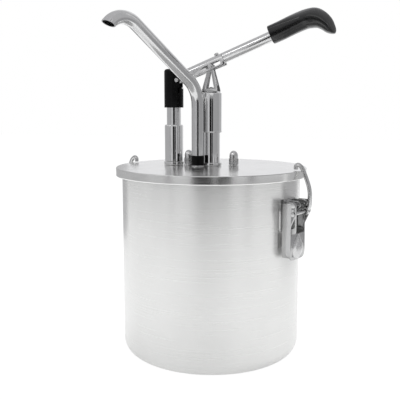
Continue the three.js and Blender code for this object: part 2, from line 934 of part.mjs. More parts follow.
function pump(group) {
  const foot = barrelFoot + gap;
  const barrel = ring(barrelRadius, barrelRadius - barrelWall, foot, foot + barrelLength);
  group.add(
    part("head_plate", headPlate(), steel),
    part("guide_tube", guideTube(), polished),
    part("guide_washer", guideWasher(), polished),
    part("guide_nut", guideNut(), steel),
    part("return_spring", returnSpring(), steel),
    part("plunger_sleeve", plungerSleeve(), polished),
    part("sleeve_cap", sleeveCap(), steel),
    part("yoke", yoke(), polished),
    part("yoke_pin", yokePin(), polished),
    part("yoke_nut", yokeNut(), steel),
    part("piston_rod", pistonRod(), steel),
    part("piston", piston(), paleNylon),
    part("piston_seal", pistonSeal(), rubber),
    part("piston_nut", pistonNut(), steel),
    part("barrel", barrel, steel),
    part("barrel_cap", barrelCap(), paleNylon),
    part("rod_bush", rodBush(), paleNylon),
    part("inlet_valve_body", inletValveBody(), paleNylon),
    part("inlet_ball", inletBall(), steel),
    part("ball_cage", ballCage(), steel),
    part("discharge_pipe", dischargePipe(), steel),
  );
  for (const [side, x] of [["right", boltReach], ["left", -boltReach]]) {
    const fixing = new THREE.Group();
    fixing.position.x = x;
    const washer = ring(capNutWasherRadius, boltRadius + gap, onLid, onLid + thinWasher);
    fixing.add(
      part("head_bolt_" + side, bolt(boltRadius, boltFlats, boltHead, onLid + boltTop), steel),
      part("cap_nut_washer_" + side, washer, polished),
      part("cap_nut_" + side, capNut(), polished),
    );
    group.add(fixing);
  }
}

// Spout: riser, long bend, slanted run and turned-down nozzle with a near-level mouth
const collarBase = onLid + thinWasher + gap;

function spoutPlaces() {
  const tilt = radians(spoutSlope);
  const bendStart = lidTop + riserBendStart;
  const bendFoot = collarBase + collarHeight + gap;
  const places = [[0, bendFoot, 90], [0, bendStart, 90]];
  for (let step = 1; step <= riserBendSteps; step += 1) {
    const slope = 90 - ((90 - spoutSlope) * step) / riserBendSteps;
    const turned = radians(90 - slope);
    places.push([
      riserBendRadius * (1 - Math.cos(turned)),
      bendStart + riserBendRadius * Math.sin(turned),
      slope,
    ]);
  }
  const topHeight = lidTop + spoutTopRise;
  const centre = topHeight - nozzleBendRadius;
  const first = spoutTopReach - nozzleBendRadius * Math.sin(tilt);
  places.push([first, centre + nozzleBendRadius * Math.cos(tilt), spoutSlope]);
  for (let step = 1; step <= nozzleBendSteps; step += 1) {
    const slope = spoutSlope - ((spoutSlope + nozzleDrop) * step) / nozzleBendSteps;
    const turned = radians(slope);
    places.push([
      spoutTopReach - nozzleBendRadius * Math.sin(turned),
      centre + nozzleBendRadius * Math.cos(turned),
      slope,
    ]);
  }
  return places;
}

function spout() {
  const places = spoutPlaces();
  const last = places[places.length - 1];
  const slope = radians(nozzleDrop);
  const runOut = tubeRadius * 2;
  places.push([last[0] + runOut * Math.cos(slope), last[1] - runOut * Math.sin(slope), -nozzleDrop]);
  const tube = pipe(stations(places, 0, 0, 0), tubeRadius, tubeRadius - tubeWall);
  const below = [
    [-runOut * 2, -runOut * 3],
    [runOut * 3, -runOut * 3],
    [runOut * 3, 0],
    [-runOut * 2, 0],
  ];
  const mouth = plateAcross(below, -runOut, runOut)
    .rotateY(-radians(nozzleCut))
    .translate(nozzleReach, 0, lidTop + nozzleRise);
  const foot = places[0][1];
  const bore = tubeRadius - tubeWall;
  const spigot = revolve(
    [
      [spigotRadius - tubeWall, foot - spigotLength],
      [spigotRadius, foot - spigotLength],
      [spigotRadius, foot],
      [tubeRadius, foot],
      [tubeRadius, foot + tubeWall],
      [bore, foot + tubeWall],
      [spigotRadius - tubeWall, foot],
    ],
  );
  const bent = join(cut(tube, mouth), spigot);
  return bent.rotateZ(radians(spoutHeading)).translate(riserX, riserY, 0);
}

function riserCollar() {
  const top = collarBase + collarHeight;
  const bore = spigotRadius + gap;
  const outline = [
    [bore, collarBase],
    [collarRadius - chamfer, collarBase],
    [collarRadius, collarBase + chamfer],
    [collarRadius, top - chamfer],
    [collarRadius - chamfer, top],
    [bore, top],
  ];
  return revolve(outline).translate(riserX, riserY, 0);
}

function riserWasher() {
  const washer = ring(riserWasherRadius, spigotRadius + gap, onLid, onLid + thinWasher);
  return washer.translate(riserX, riserY, 0);
}

// Latches, in a frame with X outward from the pot and Y along the rim
const wall = potRadius;

function latchBase() {
  const back = wall + gap;
  const face = back + latchBaseSheet;
  const half = THREE.MathUtils.radToDeg(Math.asin(latchBaseHalf / face));
  const plate = [...arc(0, 0, face, -half, half, 6), ...arc(0, 0, back, half, -half, 6)];
  const root = face - latchBaseSheet / 2;
  const lug = [
    [root, lugBottom],
    ...arc(wall + fulcrumReach, fulcrumHeight, lugRound, -55, 90, 6),
    [root, fulcrumHeight + lugRound],
  ];
  const lugs = [lugSpan, -lugSpan - lugSheet].map((from) => plateAcross(lug, from, from + lugSheet));
  const body = join(raise(flat(plate), latchBaseBottom, latchBaseTop), ...lugs);
  const reach = lugSpan + lugSheet + overrun;
  const bore = crossBar(fulcrumRadius + gap, -reach, reach, wall + fulcrumReach, fulcrumHeight);
  const holes = [rivetUpper, rivetLower].map((height) =>
    round(rivetShank + gap, -overrun, latchBaseSheet + gap + overrun, smallSides)
      .rotateY(quarterTurn)
      .translate(back - overrun, 0, height),
  );
  return cut(body, bore, ...holes);
}

// A domed rivet in the base plate.
function latchRivet(height) {
  const seat = wall + gap + latchBaseSheet + gap;
  const dome = revolve(
    [
      [0, -latchBaseSheet],
      [rivetShank, -latchBaseSheet],
      [rivetShank, 0],
      [rivetRadius, 0],
      ...rivetDomeShares.map(([wide, high]) => [rivetRadius * wide, rivetHeight * high]),
      [0, rivetHeight],
    ],
    smallSides,
  );
  return dome.rotateY(quarterTurn).translate(seat, 0, height);
}

// The latch lever: two flanges with pivot ears, joined lower down by a web with a drop-shaped window.
function latchLever() {
  const back = wall + leverBack;
  const outside = wall + leverDepth;
  const eye = wall + fulcrumReach;
  const top = fulcrumHeight + leverEar;
  const side = [
    [back + leverEar / 2, leverBottom],
    [outside, leverBottom],
    [outside, lugBottom - hookPinDrop],
    ...arc(eye, fulcrumHeight - hookPinDrop, leverEar, -30, 0, 2),
    ...arc(eye, fulcrumHeight, leverEar, 0, 90, 4),
    ...arc(back + leverTopRound, top - leverTopRound, leverTopRound, 90, 180, 3),
    [back, leverBottom + leverEar],
  ];
  const inner = leverHalf - leverSheet;
  const web = [
    [outside - leverSheet, leverBottom],
    [outside, leverBottom],
    [outside, leverWebTop],
    [outside - leverSheet, leverWebTop],
  ];
  const flanges = [inner, -leverHalf].map((from) => plateAcross(side, from, from + leverSheet));
  const body = join(plateAcross(web, -leverHalf, leverHalf), ...flanges);
  const windowHeight = leverBottom + windowRim + windowRadius;
  const window = barAlong(
    [...arc(0, windowHeight, windowRadius, 150, 390, 12), [0, leverWebTop - windowLip]],
    outside - leverSheet - overrun,
    outside + overrun,
  );
  const hollow = [inner + gap, leverHalf - gap];
  const tongue = [
    ...arc(-leverHalf + leverCorner, leverBottom + leverCorner, leverCorner, 180, 270, 4),
    ...arc(leverHalf - leverCorner, leverBottom + leverCorner, leverCorner, 270, 360, 4),
    [leverHalf + overrun, leverBottom + leverCorner],
    [leverHalf + overrun, fulcrumHeight + leverEar + overrun],
    [-leverHalf - overrun, fulcrumHeight + leverEar + overrun],
    [-leverHalf - overrun, leverBottom + leverCorner],
  ];
  const reach = hollow[1] + overrun;
  const shaped = common(body, barAlong(tongue, wall - overrun, eye + leverEar + overrun));
  return cut(
    shaped,
    window,
    crossBar(fulcrumRadius + gap, -reach, reach, eye, fulcrumHeight),
    crossBar(hookPinRadius + gap, -reach, reach, eye, fulcrumHeight - hookPinDrop),
  );
}

// One of the two short rivets that the lever turns on.
function fulcrumRivet(sign) {
  const from = lugSpan - gap;
  const to = leverHalf + gap;
  const shank = crossBar(fulcrumRadius, from, to, wall + fulcrumReach, fulcrumHeight);
  const head = crossBar(fulcrumHeadRadius, to, to + pinHead, wall + fulcrumReach, fulcrumHeight);
  const rivet = join(shank, head);
  return sign > 0 ? rivet : rivet.rotateZ(halfTurn).translate((wall + fulcrumReach) * 2, 0, 0);
}

function hookPin() {
  const half = leverHalf + gap;
  const height = fulcrumHeight - hookPinDrop;
  const reach = wall + fulcrumReach;
  const shank = crossBar(hookPinRadius, -half, half, reach, height);
  const heads = [-half - pinHead, half].map((from) =>
    crossBar(hookPinHeadRadius, from, from + pinHead, reach, height),
  );
  return join(shank, ...heads);
}

// The wire hook: an eye on its pin, a bow out round the fulcrum and a bend in over the lid.
function latchHook() {
  const pinReach = wall + fulcrumReach;
  const pinAt = fulcrumHeight - hookPinDrop;
  const out = pinReach + hookBow;
  const tip = lidRadius - hookTipInset;
  const straightTop = hookTop - hookBend * 2;
  const outerBend = arc(out - hookBend * 2, straightTop, hookBend * 2, 0, 90, 5).slice(1);
  const innerBend = arc(tip + hookBend / 2, hookTop - hookBend / 2, hookBend / 2, 90, 180, 3);
  const route = [
    [pinReach + hookBow / 2, pinAt + hookBow / 2],
    [out, pinAt + hookBowRise],
    [out, straightTop],
    ...outerBend,
    ...innerBend,
    [tip, onLid],
  ];
  const places = route.map(([reach, height], i) => {
    const before = route[Math.max(i - 1, 0)];
    const after = route[Math.min(i + 1, route.length - 1)];
    const slope = THREE.MathUtils.radToDeg(Math.atan2(after[1] - before[1], after[0] - before[0]));
    return [reach, height, slope];
  });
  const wire = pipe(stations(places, 0, 0, 0), hookWire, 0, smallSides);
  const eye = crossBar(hookEye, -hookWire, hookWire, pinReach, pinAt);
  const bore = crossBar(hookPinRadius + gap, -hookWire - overrun, hookWire + overrun, pinReach, pinAt);
  return cut(join(wire, eye), bore).translate(0, hookOffset, 0);
}

function latch(number, angle) {
  const frame = new THREE.Group();
  frame.rotation.z = radians(angle);
  const name = (piece) => "latch_" + number + "_" + piece;
  frame.add(
    part(name("base"), latchBase(), steel),
    part(name("rivet_upper"), latchRivet(rivetUpper), polished),
    part(name("rivet_lower"), latchRivet(rivetLower), polished),
    part(name("lever"), latchLever(), polished),
    part(name("fulcrum_near"), fulcrumRivet(-1), steel),
    part(name("fulcrum_far"), fulcrumRivet(1), steel),
    part(name("hook_pin"), hookPin(), steel),
    part(name("hook"), latchHook(), polished),
  );
  return frame;
}

// Lever, in a frame with its origin at the pivot and X along it
const slope = radians(leverSlope);
const slotReach = pivotReach * Math.cos(slope) + pinRise * Math.sin(slope);
const slotHeight = pinRise * Math.cos(slope) - pivotReach * Math.sin(slope);
const travelLeft = slotReach - pivotReach;
const tubeStart = channelReach + gap;

// The channel: a folded strip with a round roof, open below, slotted for the plunger's pin.
function leverChannel() {
  const inner = channelHalf - channelWall;
  const deep = leverOffset - channelDepthAtEnd;
  const section = [
    ...arc(0, leverOffset, channelHalf, 0, 180, 10),
    [-channelHalf, deep],
    [-inner, deep],
    ...arc(0, leverOffset, inner, 180, 0, 8),
    [inner, deep],
    [channelHalf, deep],
  ];
  const roof = leverOffset + channelHalf;
  const heel = channelHeel / 2;
  const side = [
    [channelReach, roof + overrun],
    [-channelStart + channelHeel, roof + overrun],
    ...arc(-channelStart + channelHeel, roof - channelHeel, channelHeel, 90, 180, 4),
    ...arc(-channelStart + heel, roof - channelDepthAtPivot + heel, heel, 180, 270, 3),
    [channelReach + gap, roof - channelDepthAtEnd],
  ];
  const wide = channelHalf + overrun;
  const folded = barAlong(section, -channelStart, channelReach);
  const trimmed = common(folded, plateAcross(side, -wide, wide));
  const slotHalf = pinRadius + slotPlay;
  const slot = [
    ...arc(slotReach + slotAhead, slotHeight, slotHalf, -90, 90, 6),
    ...arc(slotReach - travelLeft - gap, slotHeight, slotHalf, 90, 270, 6),
  ];
  const screwHole = round(leverScrewShank + gap, 0, roof + overrun, smallSides);
  return cut(
    trimmed,
    crossBar(pivotPinRadius + gap, -wide, wide, 0, 0),
    plateAcross(slot, -wide, wide),
    screwHole.translate(leverScrewReach, 0, 0),
  );
}

// The tube with the turned-down spigot whose tongue is cut away over the plunger's pin.
function leverTube() {
  const spigot = channelHalf - channelWall - gap;
  const spigotStart = tubeStart - tongueLength;
  const bore = leverTubeRadius - leverTubeWall;
  const outline = [
    [0, spigotStart],
    [spigot - chamfer, spigotStart],
    [spigot, spigotStart + chamfer],
    [spigot, tubeStart],
    [leverTubeRadius, tubeStart],
    [leverTubeRadius, leverTubeEnd],
    [bore, leverTubeEnd],
    [bore, tubeStart + leverTubeWall],
    [0, tubeStart + leverTubeWall],
  ];
  const tube = revolve(outline).rotateY(quarterTurn).translate(0, 0, leverOffset);
  const wide = channelHalf;
  const flatCut = plateAcross(
    [
      [spigotStart - overrun, leverOffset - wide],
      [tubeStart - channelWall * 2, leverOffset - wide],
      [tubeStart - channelWall * 2, leverOffset + tongueFlat],
      [spigotStart - overrun, leverOffset + tongueFlat],
    ],
    -wide,
    wide,
  );
  const tap = round(leverScrewShank + gap, 0, leverOffset + wide, smallSides);
  return cut(tube, flatCut, tap.translate(leverScrewReach, 0, 0));
}

function leverScrew() {
  const [wideShare, highShare] = leverScrewDomeShares;
  const seat = leverOffset + channelHalf + gap;
  const outline = [
    [0, seat - leverScrewLength],
    [leverScrewShank, seat - leverScrewLength],
    [leverScrewShank, seat],
    [leverScrewRadius, seat],
    [leverScrewRadius, seat + leverScrewHead / 2],
    [leverScrewRadius * wideShare, seat + leverScrewHead * highShare],
    [0, seat + leverScrewHead],
  ];
  return revolve(outline, smallSides).translate(leverScrewReach, 0, 0);
}

// The grip's spine and its sections, as shares of its length, drop, radius and half-width:
// how far along, how far down, half-height, half-width and lean of the section in quarter turns.
const gripShares = [
  [0, 0, 0.9, 0.7, 0],
  [0.012, 0, 0.98, 0.76, 0],
  [0.19, 0, 1, 0.78, 0],
  [0.39, -0.02, 1.01, 0.84, 0],
  [0.54, -0.03, 1.02, 0.92, 0],
  [0.66, -0.01, 1.03, 1, 0.08],
  [0.78, 0.083, 1.03, 1, 0.3],
  [0.868, 0.25, 0.91, 0.98, 0.5],
  [0.931, 0.513, 0.755, 0.92, 0.72],
  [0.96, 0.75, 0.578, 0.8, 0.84],
  [0.984, 0.908, 0.36, 0.6, 0.9],
  [1, 0.996, 0.11, 0.25, 0.92],
];

function grip() {
  const axis = leverOffset + gripRise;
  const sides = roundSides;
  const rings = gripShares.map(([along, down, high, wide, lean]) => {
    const angle = lean * quarterTurn;
    const upward = new THREE.Vector3(Math.sin(angle), 0, Math.cos(angle));
    const centre = new THREE.Vector3(gripReach + along * gripLength, 0, axis - down * gripDrop);
    const points = [];
    for (let j = 0; j < sides; j += 1) {
      const turn = (fullTurn * j) / sides;
      const point = centre.clone().addScaledVector(upward, gripRadius * high * Math.sin(turn));
      point.y = gripWidth * wide * Math.cos(turn);
      points.push(point);
    }
    return points;
  });
  const socket = round(leverTubeRadius + gap, gripReach - overrun, leverTubeEnd + gap)
    .rotateY(quarterTurn)
    .translate(0, 0, leverOffset);
  return cut(skin(rings, false), socket);
}

function lever() {
  const frame = new THREE.Group();
  frame.position.set(-pivotReach, 0, pivotHeight);
  frame.rotation.y = -slope;
  frame.add(
    part("lever_channel", leverChannel(), polished),
    part("lever_tube", leverTube(), polished),
    part("lever_screw", leverScrew(), steel),
    part("grip", grip(), blackPlastic),
  );
  return frame;
}

const dispenser = new THREE.Group();
dispenser.add(
  part("pot", pot(), steel),
  part("lid_gasket", lidGasket(), rubber),
  part("lid", lid(), steel),
  part("spout", spout(), polished),
  part("riser_collar", riserCollar(), blackPlastic),
  part("riser_washer", riserWasher(), polished),
  lever(),
);
post(dispenser);
pump(dispenser);
for (const [number, angle] of [[1, latchAngle], [2, latchAngle + 180]]) {
  dispenser.add(latch(number, angle));
}

export default dispenser;
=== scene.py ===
import json
import math

import bmesh
import bpy
from mathutils import Matrix, Vector


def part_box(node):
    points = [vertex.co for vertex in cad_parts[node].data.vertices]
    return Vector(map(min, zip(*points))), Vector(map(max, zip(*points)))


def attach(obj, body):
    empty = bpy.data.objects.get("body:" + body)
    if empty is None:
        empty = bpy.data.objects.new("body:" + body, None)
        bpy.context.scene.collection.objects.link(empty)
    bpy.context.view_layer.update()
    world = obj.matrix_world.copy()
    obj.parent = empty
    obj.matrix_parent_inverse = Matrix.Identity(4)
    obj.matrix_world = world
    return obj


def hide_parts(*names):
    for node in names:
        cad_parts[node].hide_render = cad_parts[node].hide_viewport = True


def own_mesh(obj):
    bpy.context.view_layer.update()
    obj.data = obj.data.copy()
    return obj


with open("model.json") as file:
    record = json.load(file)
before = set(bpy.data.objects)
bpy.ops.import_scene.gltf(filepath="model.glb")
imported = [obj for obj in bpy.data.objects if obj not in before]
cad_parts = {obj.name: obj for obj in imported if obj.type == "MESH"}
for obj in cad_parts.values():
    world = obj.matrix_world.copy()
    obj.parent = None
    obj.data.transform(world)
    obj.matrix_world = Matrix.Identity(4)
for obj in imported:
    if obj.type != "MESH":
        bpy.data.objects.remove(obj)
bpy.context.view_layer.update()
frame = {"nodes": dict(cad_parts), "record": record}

# Camera and studio.
# The photographer stands a little right of the spout and just above the lid, with a long white studio
# round the dispenser: dark and grey cards give the polished tubes their upright stripes.
mm = 0.001
camera = bpy.data.objects.new("camera", bpy.data.cameras.new("camera"))
bpy.context.scene.collection.objects.link(camera)
bpy.context.scene.camera = camera
camera.data.sensor_width = 36
camera.data.lens = 58.89
camera_place = (0.16823, -0.62785, 0.24695)
camera.location = camera_place
looking = Vector((-0.2723, 0.9512, -0.1454))
camera.rotation_euler = looking.to_track_quat("-Z", "Y").to_euler()

bpy.context.scene.view_settings.view_transform = "Standard"
world = bpy.data.worlds.new("studio")
bpy.context.scene.world = world
world.use_nodes = True
sky = world.node_tree
sky.nodes.clear()
sky_out = sky.nodes.new("ShaderNodeOutputWorld")
sky_mix = sky.nodes.new("ShaderNodeMixShader")
sky_path = sky.nodes.new("ShaderNodeLightPath")
sky_seen = sky.nodes.new("ShaderNodeBackground")
sky_light = sky.nodes.new("ShaderNodeBackground")
sky_seen.inputs["Color"].default_value = (1, 1, 1, 1)
sky_seen.inputs["Strength"].default_value = 1.0
sky_light.inputs["Color"].default_value = (0.97, 0.985, 1.0, 1)
sky_light.inputs["Strength"].default_value = 0.62
sky_seen_by = sky.nodes.new("ShaderNodeMath")
sky_seen_by.operation = "ADD"
sky_seen_by.use_clamp = True
sky_through = sky.nodes.new("ShaderNodeMath")
sky_through.operation = "ADD"
sky.links.new(sky_path.outputs["Is Glossy Ray"], sky_through.inputs[0])
sky.links.new(sky_path.outputs["Is Transmission Ray"], sky_through.inputs[1])
sky.links.new(sky_path.outputs["Is Camera Ray"], sky_seen_by.inputs[0])
sky.links.new(sky_through.outputs[0], sky_seen_by.inputs[1])
sky.links.new(sky_seen_by.outputs[0], sky_mix.inputs["Fac"])
sky.links.new(sky_light.outputs[0], sky_mix.inputs[1])
sky.links.new(sky_seen.outputs[0], sky_mix.inputs[2])
sky.links.new(sky_mix.outputs[0], sky_out.inputs["Surface"])


def bright_material(name, colour, strength):
    """A plain glowing surface for the studio's cards and floor."""
    material = bpy.data.materials.new(name)
    material.use_nodes = True
    tree = material.node_tree
    tree.nodes.clear()
    glow = tree.nodes.new("ShaderNodeEmission")
    glow.inputs["Color"].default_value = (*colour, 1)
    glow.inputs["Strength"].default_value = strength
    out = tree.nodes.new("ShaderNodeOutputMaterial")
    tree.links.new(glow.outputs[0], out.inputs["Surface"])
    return material


def card(name, corners, shade):
    """A flat, slightly cool grey card that only reflections see."""
    coolness = 1.02
    mesh = bpy.data.meshes.new(name)
    mesh.from_pydata(corners, [], [(0, 1, 2, 3)])
    mesh.materials.append(bright_material(name, (shade, shade, shade * coolness), 1.0))
    board = bpy.data.objects.new(name, mesh)
    bpy.context.scene.collection.objects.link(board)
    board.visible_camera = False
    board.visible_diffuse = False
    board.visible_shadow = False


for name, start, stop, reach, low_edge, top_edge, shade in (
    ("card_dark_near_left", -3, 16, 0.28, 0.16, 0.30, 0.006),
    ("card_dark_near_right", 20, 34, 0.28, 0.16, 0.30, 0.03),
    ("card_dark_front", -2, 17, 1.0, -0.2, 0.46, 0.24),
    ("card_dark_front_side", 17, 39, 1.0, -0.2, 0.46, 0.33),
    ("card_pale_front_left", -30, -2, 1.0, -0.2, 0.85, 0.58),
    ("card_dark_left", -35, -30, 1.0, -0.2, 0.85, 0.14),
    ("card_grey_left", -62, -35, 1.0, -0.2, 0.85, 0.50),
    ("card_grey_far_left", -112, -62, 1.5, -0.2, 1.2, 0.54),
    ("card_grey_left_near", -150, -112, 0.6, -0.2, 0.8, 0.50),
    ("card_pale_front_right", 39, 56, 1.0, -0.2, 2.0, 0.60),
    ("card_dark_right", 56, 63, 1.0, -0.2, 1.2, 0.14),
    ("card_grey_far_right", 63, 106, 1.5, -0.2, 3.0, 0.50),
    ("card_grey_right_near", 106, 150, 0.5, -0.2, 0.8, 0.46),
    ("card_under_lever_left", 36, 71, 0.125, 0.195, 0.30, 0.36),
    ("card_under_lever_right", 71, 106, 0.125, 0.195, 0.30, 0.36),
    ("card_under_spout_left", -112, -78, 0.17, 0.17, 0.27, 0.44),
    ("card_under_spout_right", -78, -44, 0.17, 0.17, 0.27, 0.44),
    ("card_pale_behind", 150, 210, 2.4, -0.2, 5.0, 0.84),
):
    middle, half = math.radians((start + stop) / 2), math.radians((stop - start) / 2)
    facing = Matrix.Rotation(middle, 4, "Z") @ Matrix.Translation((0, -reach, 0))
    half_width = reach * math.tan(half)
    corners = [
        (-half_width, 0, low_edge),
        (half_width, 0, low_edge),
        (half_width, 0, top_edge),
        (-half_width, 0, top_edge),
    ]
    card(name, [facing @ Vector(corner) for corner in corners], shade)
for name, left, right, front, back, level, shade in (
    ("card_ceiling", -3, 3, -3, 3, 3.2, 0.55),
    ("card_below_lever", 0.099, 0.42, -0.38, 0.14, 0.192, 0.45),
    ("card_below_spout", -0.40, -0.085, -0.42, -0.07, 0.192, 0.46),
):
    corners = [(left, front, level), (right, front, level), (right, back, level), (left, back, level)]
    card(name, corners, shade)

# Reflections leave out the overhead lamp, because its glare would blot out the lid.
lamps_aim = Vector((0, 0, 0.18))
for name, place, energy, size in (
    ("overhead", (0.1, 0.6, 1.4), 14, 1.0),
    ("front_left", (-1.1, -1.2, 0.9), 7, 0.9),
    ("front_right", (1.3, -0.9, 0.8), 4, 0.8),
):
    lamp = bpy.data.objects.new(name, bpy.data.lights.new(name, "AREA"))
    lamp.data.energy = energy
    lamp.data.size = size
    lamp.location = place
    lamp.rotation_euler = (lamps_aim - Vector(place)).to_track_quat("-Z", "Y").to_euler()
    bpy.context.scene.collection.objects.link(lamp)
    lamp.visible_glossy = name != "overhead"

floor_reach = 4
floor_corners = [
    (-floor_reach, -floor_reach, 0),
    (floor_reach, -floor_reach, 0),
    (floor_reach, floor_reach, 0),
    (-floor_reach, floor_reach, 0),
]
floor_mesh = bpy.data.meshes.new("floor")
floor_mesh.from_pydata(floor_corners, [], [(0, 1, 2, 3)])
floor = bpy.data.objects.new("floor", floor_mesh)
floor_material = bpy.data.materials.new("floor")
floor_material.use_nodes = True
floor_tree = floor_material.node_tree
floor_shader = floor_tree.nodes["Principled BSDF"]
floor_shader.inputs["Base Color"].default_value = (0.93, 0.93, 0.93, 1)
floor_shader.inputs["Roughness"].default_value = 0.9
floor_path = floor_tree.nodes.new("ShaderNodeLightPath")
floor_lift = floor_tree.nodes.new("ShaderNodeEmission")
floor_lift.inputs["Color"].default_value = (1, 1, 1, 1)
floor_lift.inputs["Strength"].default_value = 1.06
floor_sum = floor_tree.nodes.new("ShaderNodeMixShader")
floor_share = floor_tree.nodes.new("ShaderNodeMath")
floor_share.operation = "MULTIPLY_ADD"
floor_share.inputs[1].default_value = 0.5
floor_seen_by = floor_tree.nodes.new("ShaderNodeMath")
floor_seen_by.operation = "MULTIPLY"
floor_seen_by.inputs[1].default_value = 0.9
floor_through = floor_tree.nodes.new("ShaderNodeMath")
floor_through.operation = "ADD"
floor_tree.links.new(floor_path.outputs["Is Glossy Ray"], floor_through.inputs[0])
floor_tree.links.new(floor_path.outputs["Is Transmission Ray"], floor_through.inputs[1])
floor_tree.links.new(floor_path.outputs["Is Camera Ray"], floor_seen_by.inputs[0])
floor_tree.links.new(floor_through.outputs[0], floor_share.inputs[0])
floor_tree.links.new(floor_seen_by.outputs[0], floor_share.inputs[2])
floor_tree.links.new(floor_share.outputs[0], floor_sum.inputs["Fac"])
floor_tree.links.new(floor_shader.outputs[0], floor_sum.inputs[1])
floor_tree.links.new(floor_lift.outputs[0], floor_sum.inputs[2])
floor_tree.links.new(floor_sum.outputs[0], floor_tree.nodes["Material Output"].inputs["Surface"])
floor_mesh.materials.append(floor_material)
bpy.context.scene.collection.objects.link(floor)

# Finishes.
# The metal pieces are stainless steel: brushed round on the pot, spun on the lid, and from polished to satin
# on the tubes and fittings. Fine drawn grain and faint handling marks are shared by all the finishes.


def new_group(name, sockets, tree_kind="ShaderNodeTree"):
    """An empty node group with named sockets: (name, direction, kind, value)."""
    group = bpy.data.node_groups.new(name, tree_kind)
    for label, direction, kind, value in sockets:
        socket = group.interface.new_socket(label, in_out=direction, socket_type=kind)
        if value is not None:
            socket.default_value = value
    inside = group.nodes.new("NodeGroupInput")
    outside = group.nodes.new("NodeGroupOutput")
    return group, inside, outside


grain, grain_in, grain_out = new_group(
    "drawn grain",
    [
        ("Stretch", "INPUT", "NodeSocketVector", (1, 1, 1)),
        ("Low", "INPUT", "NodeSocketFloat", 0.2),
        ("High", "INPUT", "NodeSocketFloat", 0.4),
        ("Roughness", "OUTPUT", "NodeSocketFloat", None),
        ("Height", "OUTPUT", "NodeSocketFloat", None),
    ],
)
grain_place = grain.nodes.new("ShaderNodeTexCoord")
grain_scale = grain.nodes.new("ShaderNodeVectorMath")
grain_scale.operation = "MULTIPLY"
grain_noise = grain.nodes.new("ShaderNodeTexNoise")
grain_noise.inputs["Scale"].default_value = 1
grain_noise.inputs["Detail"].default_value = 4
grain_noise.inputs["Roughness"].default_value = 0.65
grain_range = grain.nodes.new("ShaderNodeMapRange")
grain.links.new(grain_place.outputs["Object"], grain_scale.inputs[0])
grain.links.new(grain_in.outputs["Stretch"], grain_scale.inputs[1])
grain.links.new(grain_scale.outputs[0], grain_noise.inputs["Vector"])
grain.links.new(grain_noise.outputs["Fac"], grain_range.inputs["Value"])
grain_range.inputs["From Min"].default_value = 0.3
grain_range.inputs["From Max"].default_value = 0.7
grain.links.new(grain_in.outputs["Low"], grain_range.inputs["To Min"])
grain.links.new(grain_in.outputs["High"], grain_range.inputs["To Max"])
grain.links.new(grain_range.outputs["Result"], grain_out.inputs["Roughness"])
grain.links.new(grain_noise.outputs["Fac"], grain_out.inputs["Height"])

marks, marks_in, marks_out = new_group(
    "handling marks",
    [
        ("Size", "INPUT", "NodeSocketFloat", 30),
        ("Clean", "INPUT", "NodeSocketColor", (0.8, 0.8, 0.8, 1)),
        ("Handled", "INPUT", "NodeSocketColor", (0.7, 0.7, 0.7, 1)),
        ("Color", "OUTPUT", "NodeSocketColor", None),
    ],
)
marks_place = marks.nodes.new("ShaderNodeTexCoord")
marks_noise = marks.nodes.new("ShaderNodeTexNoise")
marks_noise.inputs["Detail"].default_value = 5
marks_noise.inputs["Roughness"].default_value = 0.6
marks_range = marks.nodes.new("ShaderNodeMapRange")
marks_range.inputs["From Min"].default_value = 0.42
marks_range.inputs["From Max"].default_value = 0.72
marks_mix = marks.nodes.new("ShaderNodeMix")
marks_mix.data_type = "RGBA"
marks.links.new(marks_place.outputs["Object"], marks_noise.inputs["Vector"])
marks.links.new(marks_in.outputs["Size"], marks_noise.inputs["Scale"])
marks.links.new(marks_noise.outputs["Fac"], marks_range.inputs["Value"])
marks.links.new(marks_range.outputs["Result"], marks_mix.inputs["Factor"])
marks.links.new(marks_in.outputs["Clean"], marks_mix.inputs["A"])
marks.links.new(marks_in.outputs["Handled"], marks_mix.inputs["B"])
marks.links.new(marks_mix.outputs["Result"], marks_out.inputs["Color"])


def finish(
    name, clean, handled, rough, stretch, bump, marks_size, metallic=1.0, anisotropic=0.0, gloss=0.5
):
    """A material with drawn grain in its roughness and height, and handling marks in its colour."""
    grain_depth = 0.0002
    material = bpy.data.materials.new(name)
    material.use_nodes = True
    tree = material.node_tree
    shader = tree.nodes["Principled BSDF"]
    shader.inputs["Metallic"].default_value = metallic
    shader.inputs["Anisotropic"].default_value = anisotropic
    shader.inputs["Anisotropic Rotation"].default_value = 0.25
    shader.inputs["Specular IOR Level"].default_value = gloss
    grained = tree.nodes.new("ShaderNodeGroup")
    grained.node_tree = grain
    grained.inputs["Stretch"].default_value = stretch
    grained.inputs["Low"].default_value = rough[0]
    grained.inputs["High"].default_value = rough[1]
    handled_node = tree.nodes.new("ShaderNodeGroup")
    handled_node.node_tree = marks
    handled_node.inputs["Size"].default_value = marks_size
    handled_node.inputs["Clean"].default_value = (*clean, 1)
    handled_node.inputs["Handled"].default_value = (*handled, 1)
    height = tree.nodes.new("ShaderNodeBump")
    height.inputs["Strength"].default_value = bump
    height.inputs["Distance"].default_value = grain_depth
    tree.links.new(grained.outputs["Roughness"], shader.inputs["Roughness"])
    tree.links.new(grained.outputs["Height"], height.inputs["Height"])
    tree.links.new(height.outputs["Normal"], shader.inputs["Normal"])
    tree.links.new(handled_node.outputs["Color"], shader.inputs["Base Color"])
    if anisotropic:
        tangent = tree.nodes.new("ShaderNodeTangent")
        tangent.direction_type = "RADIAL"
        tangent.axis = "Z"
        tree.links.new(tangent.outputs["Tangent"], shader.inputs["Tangent"])
    return material


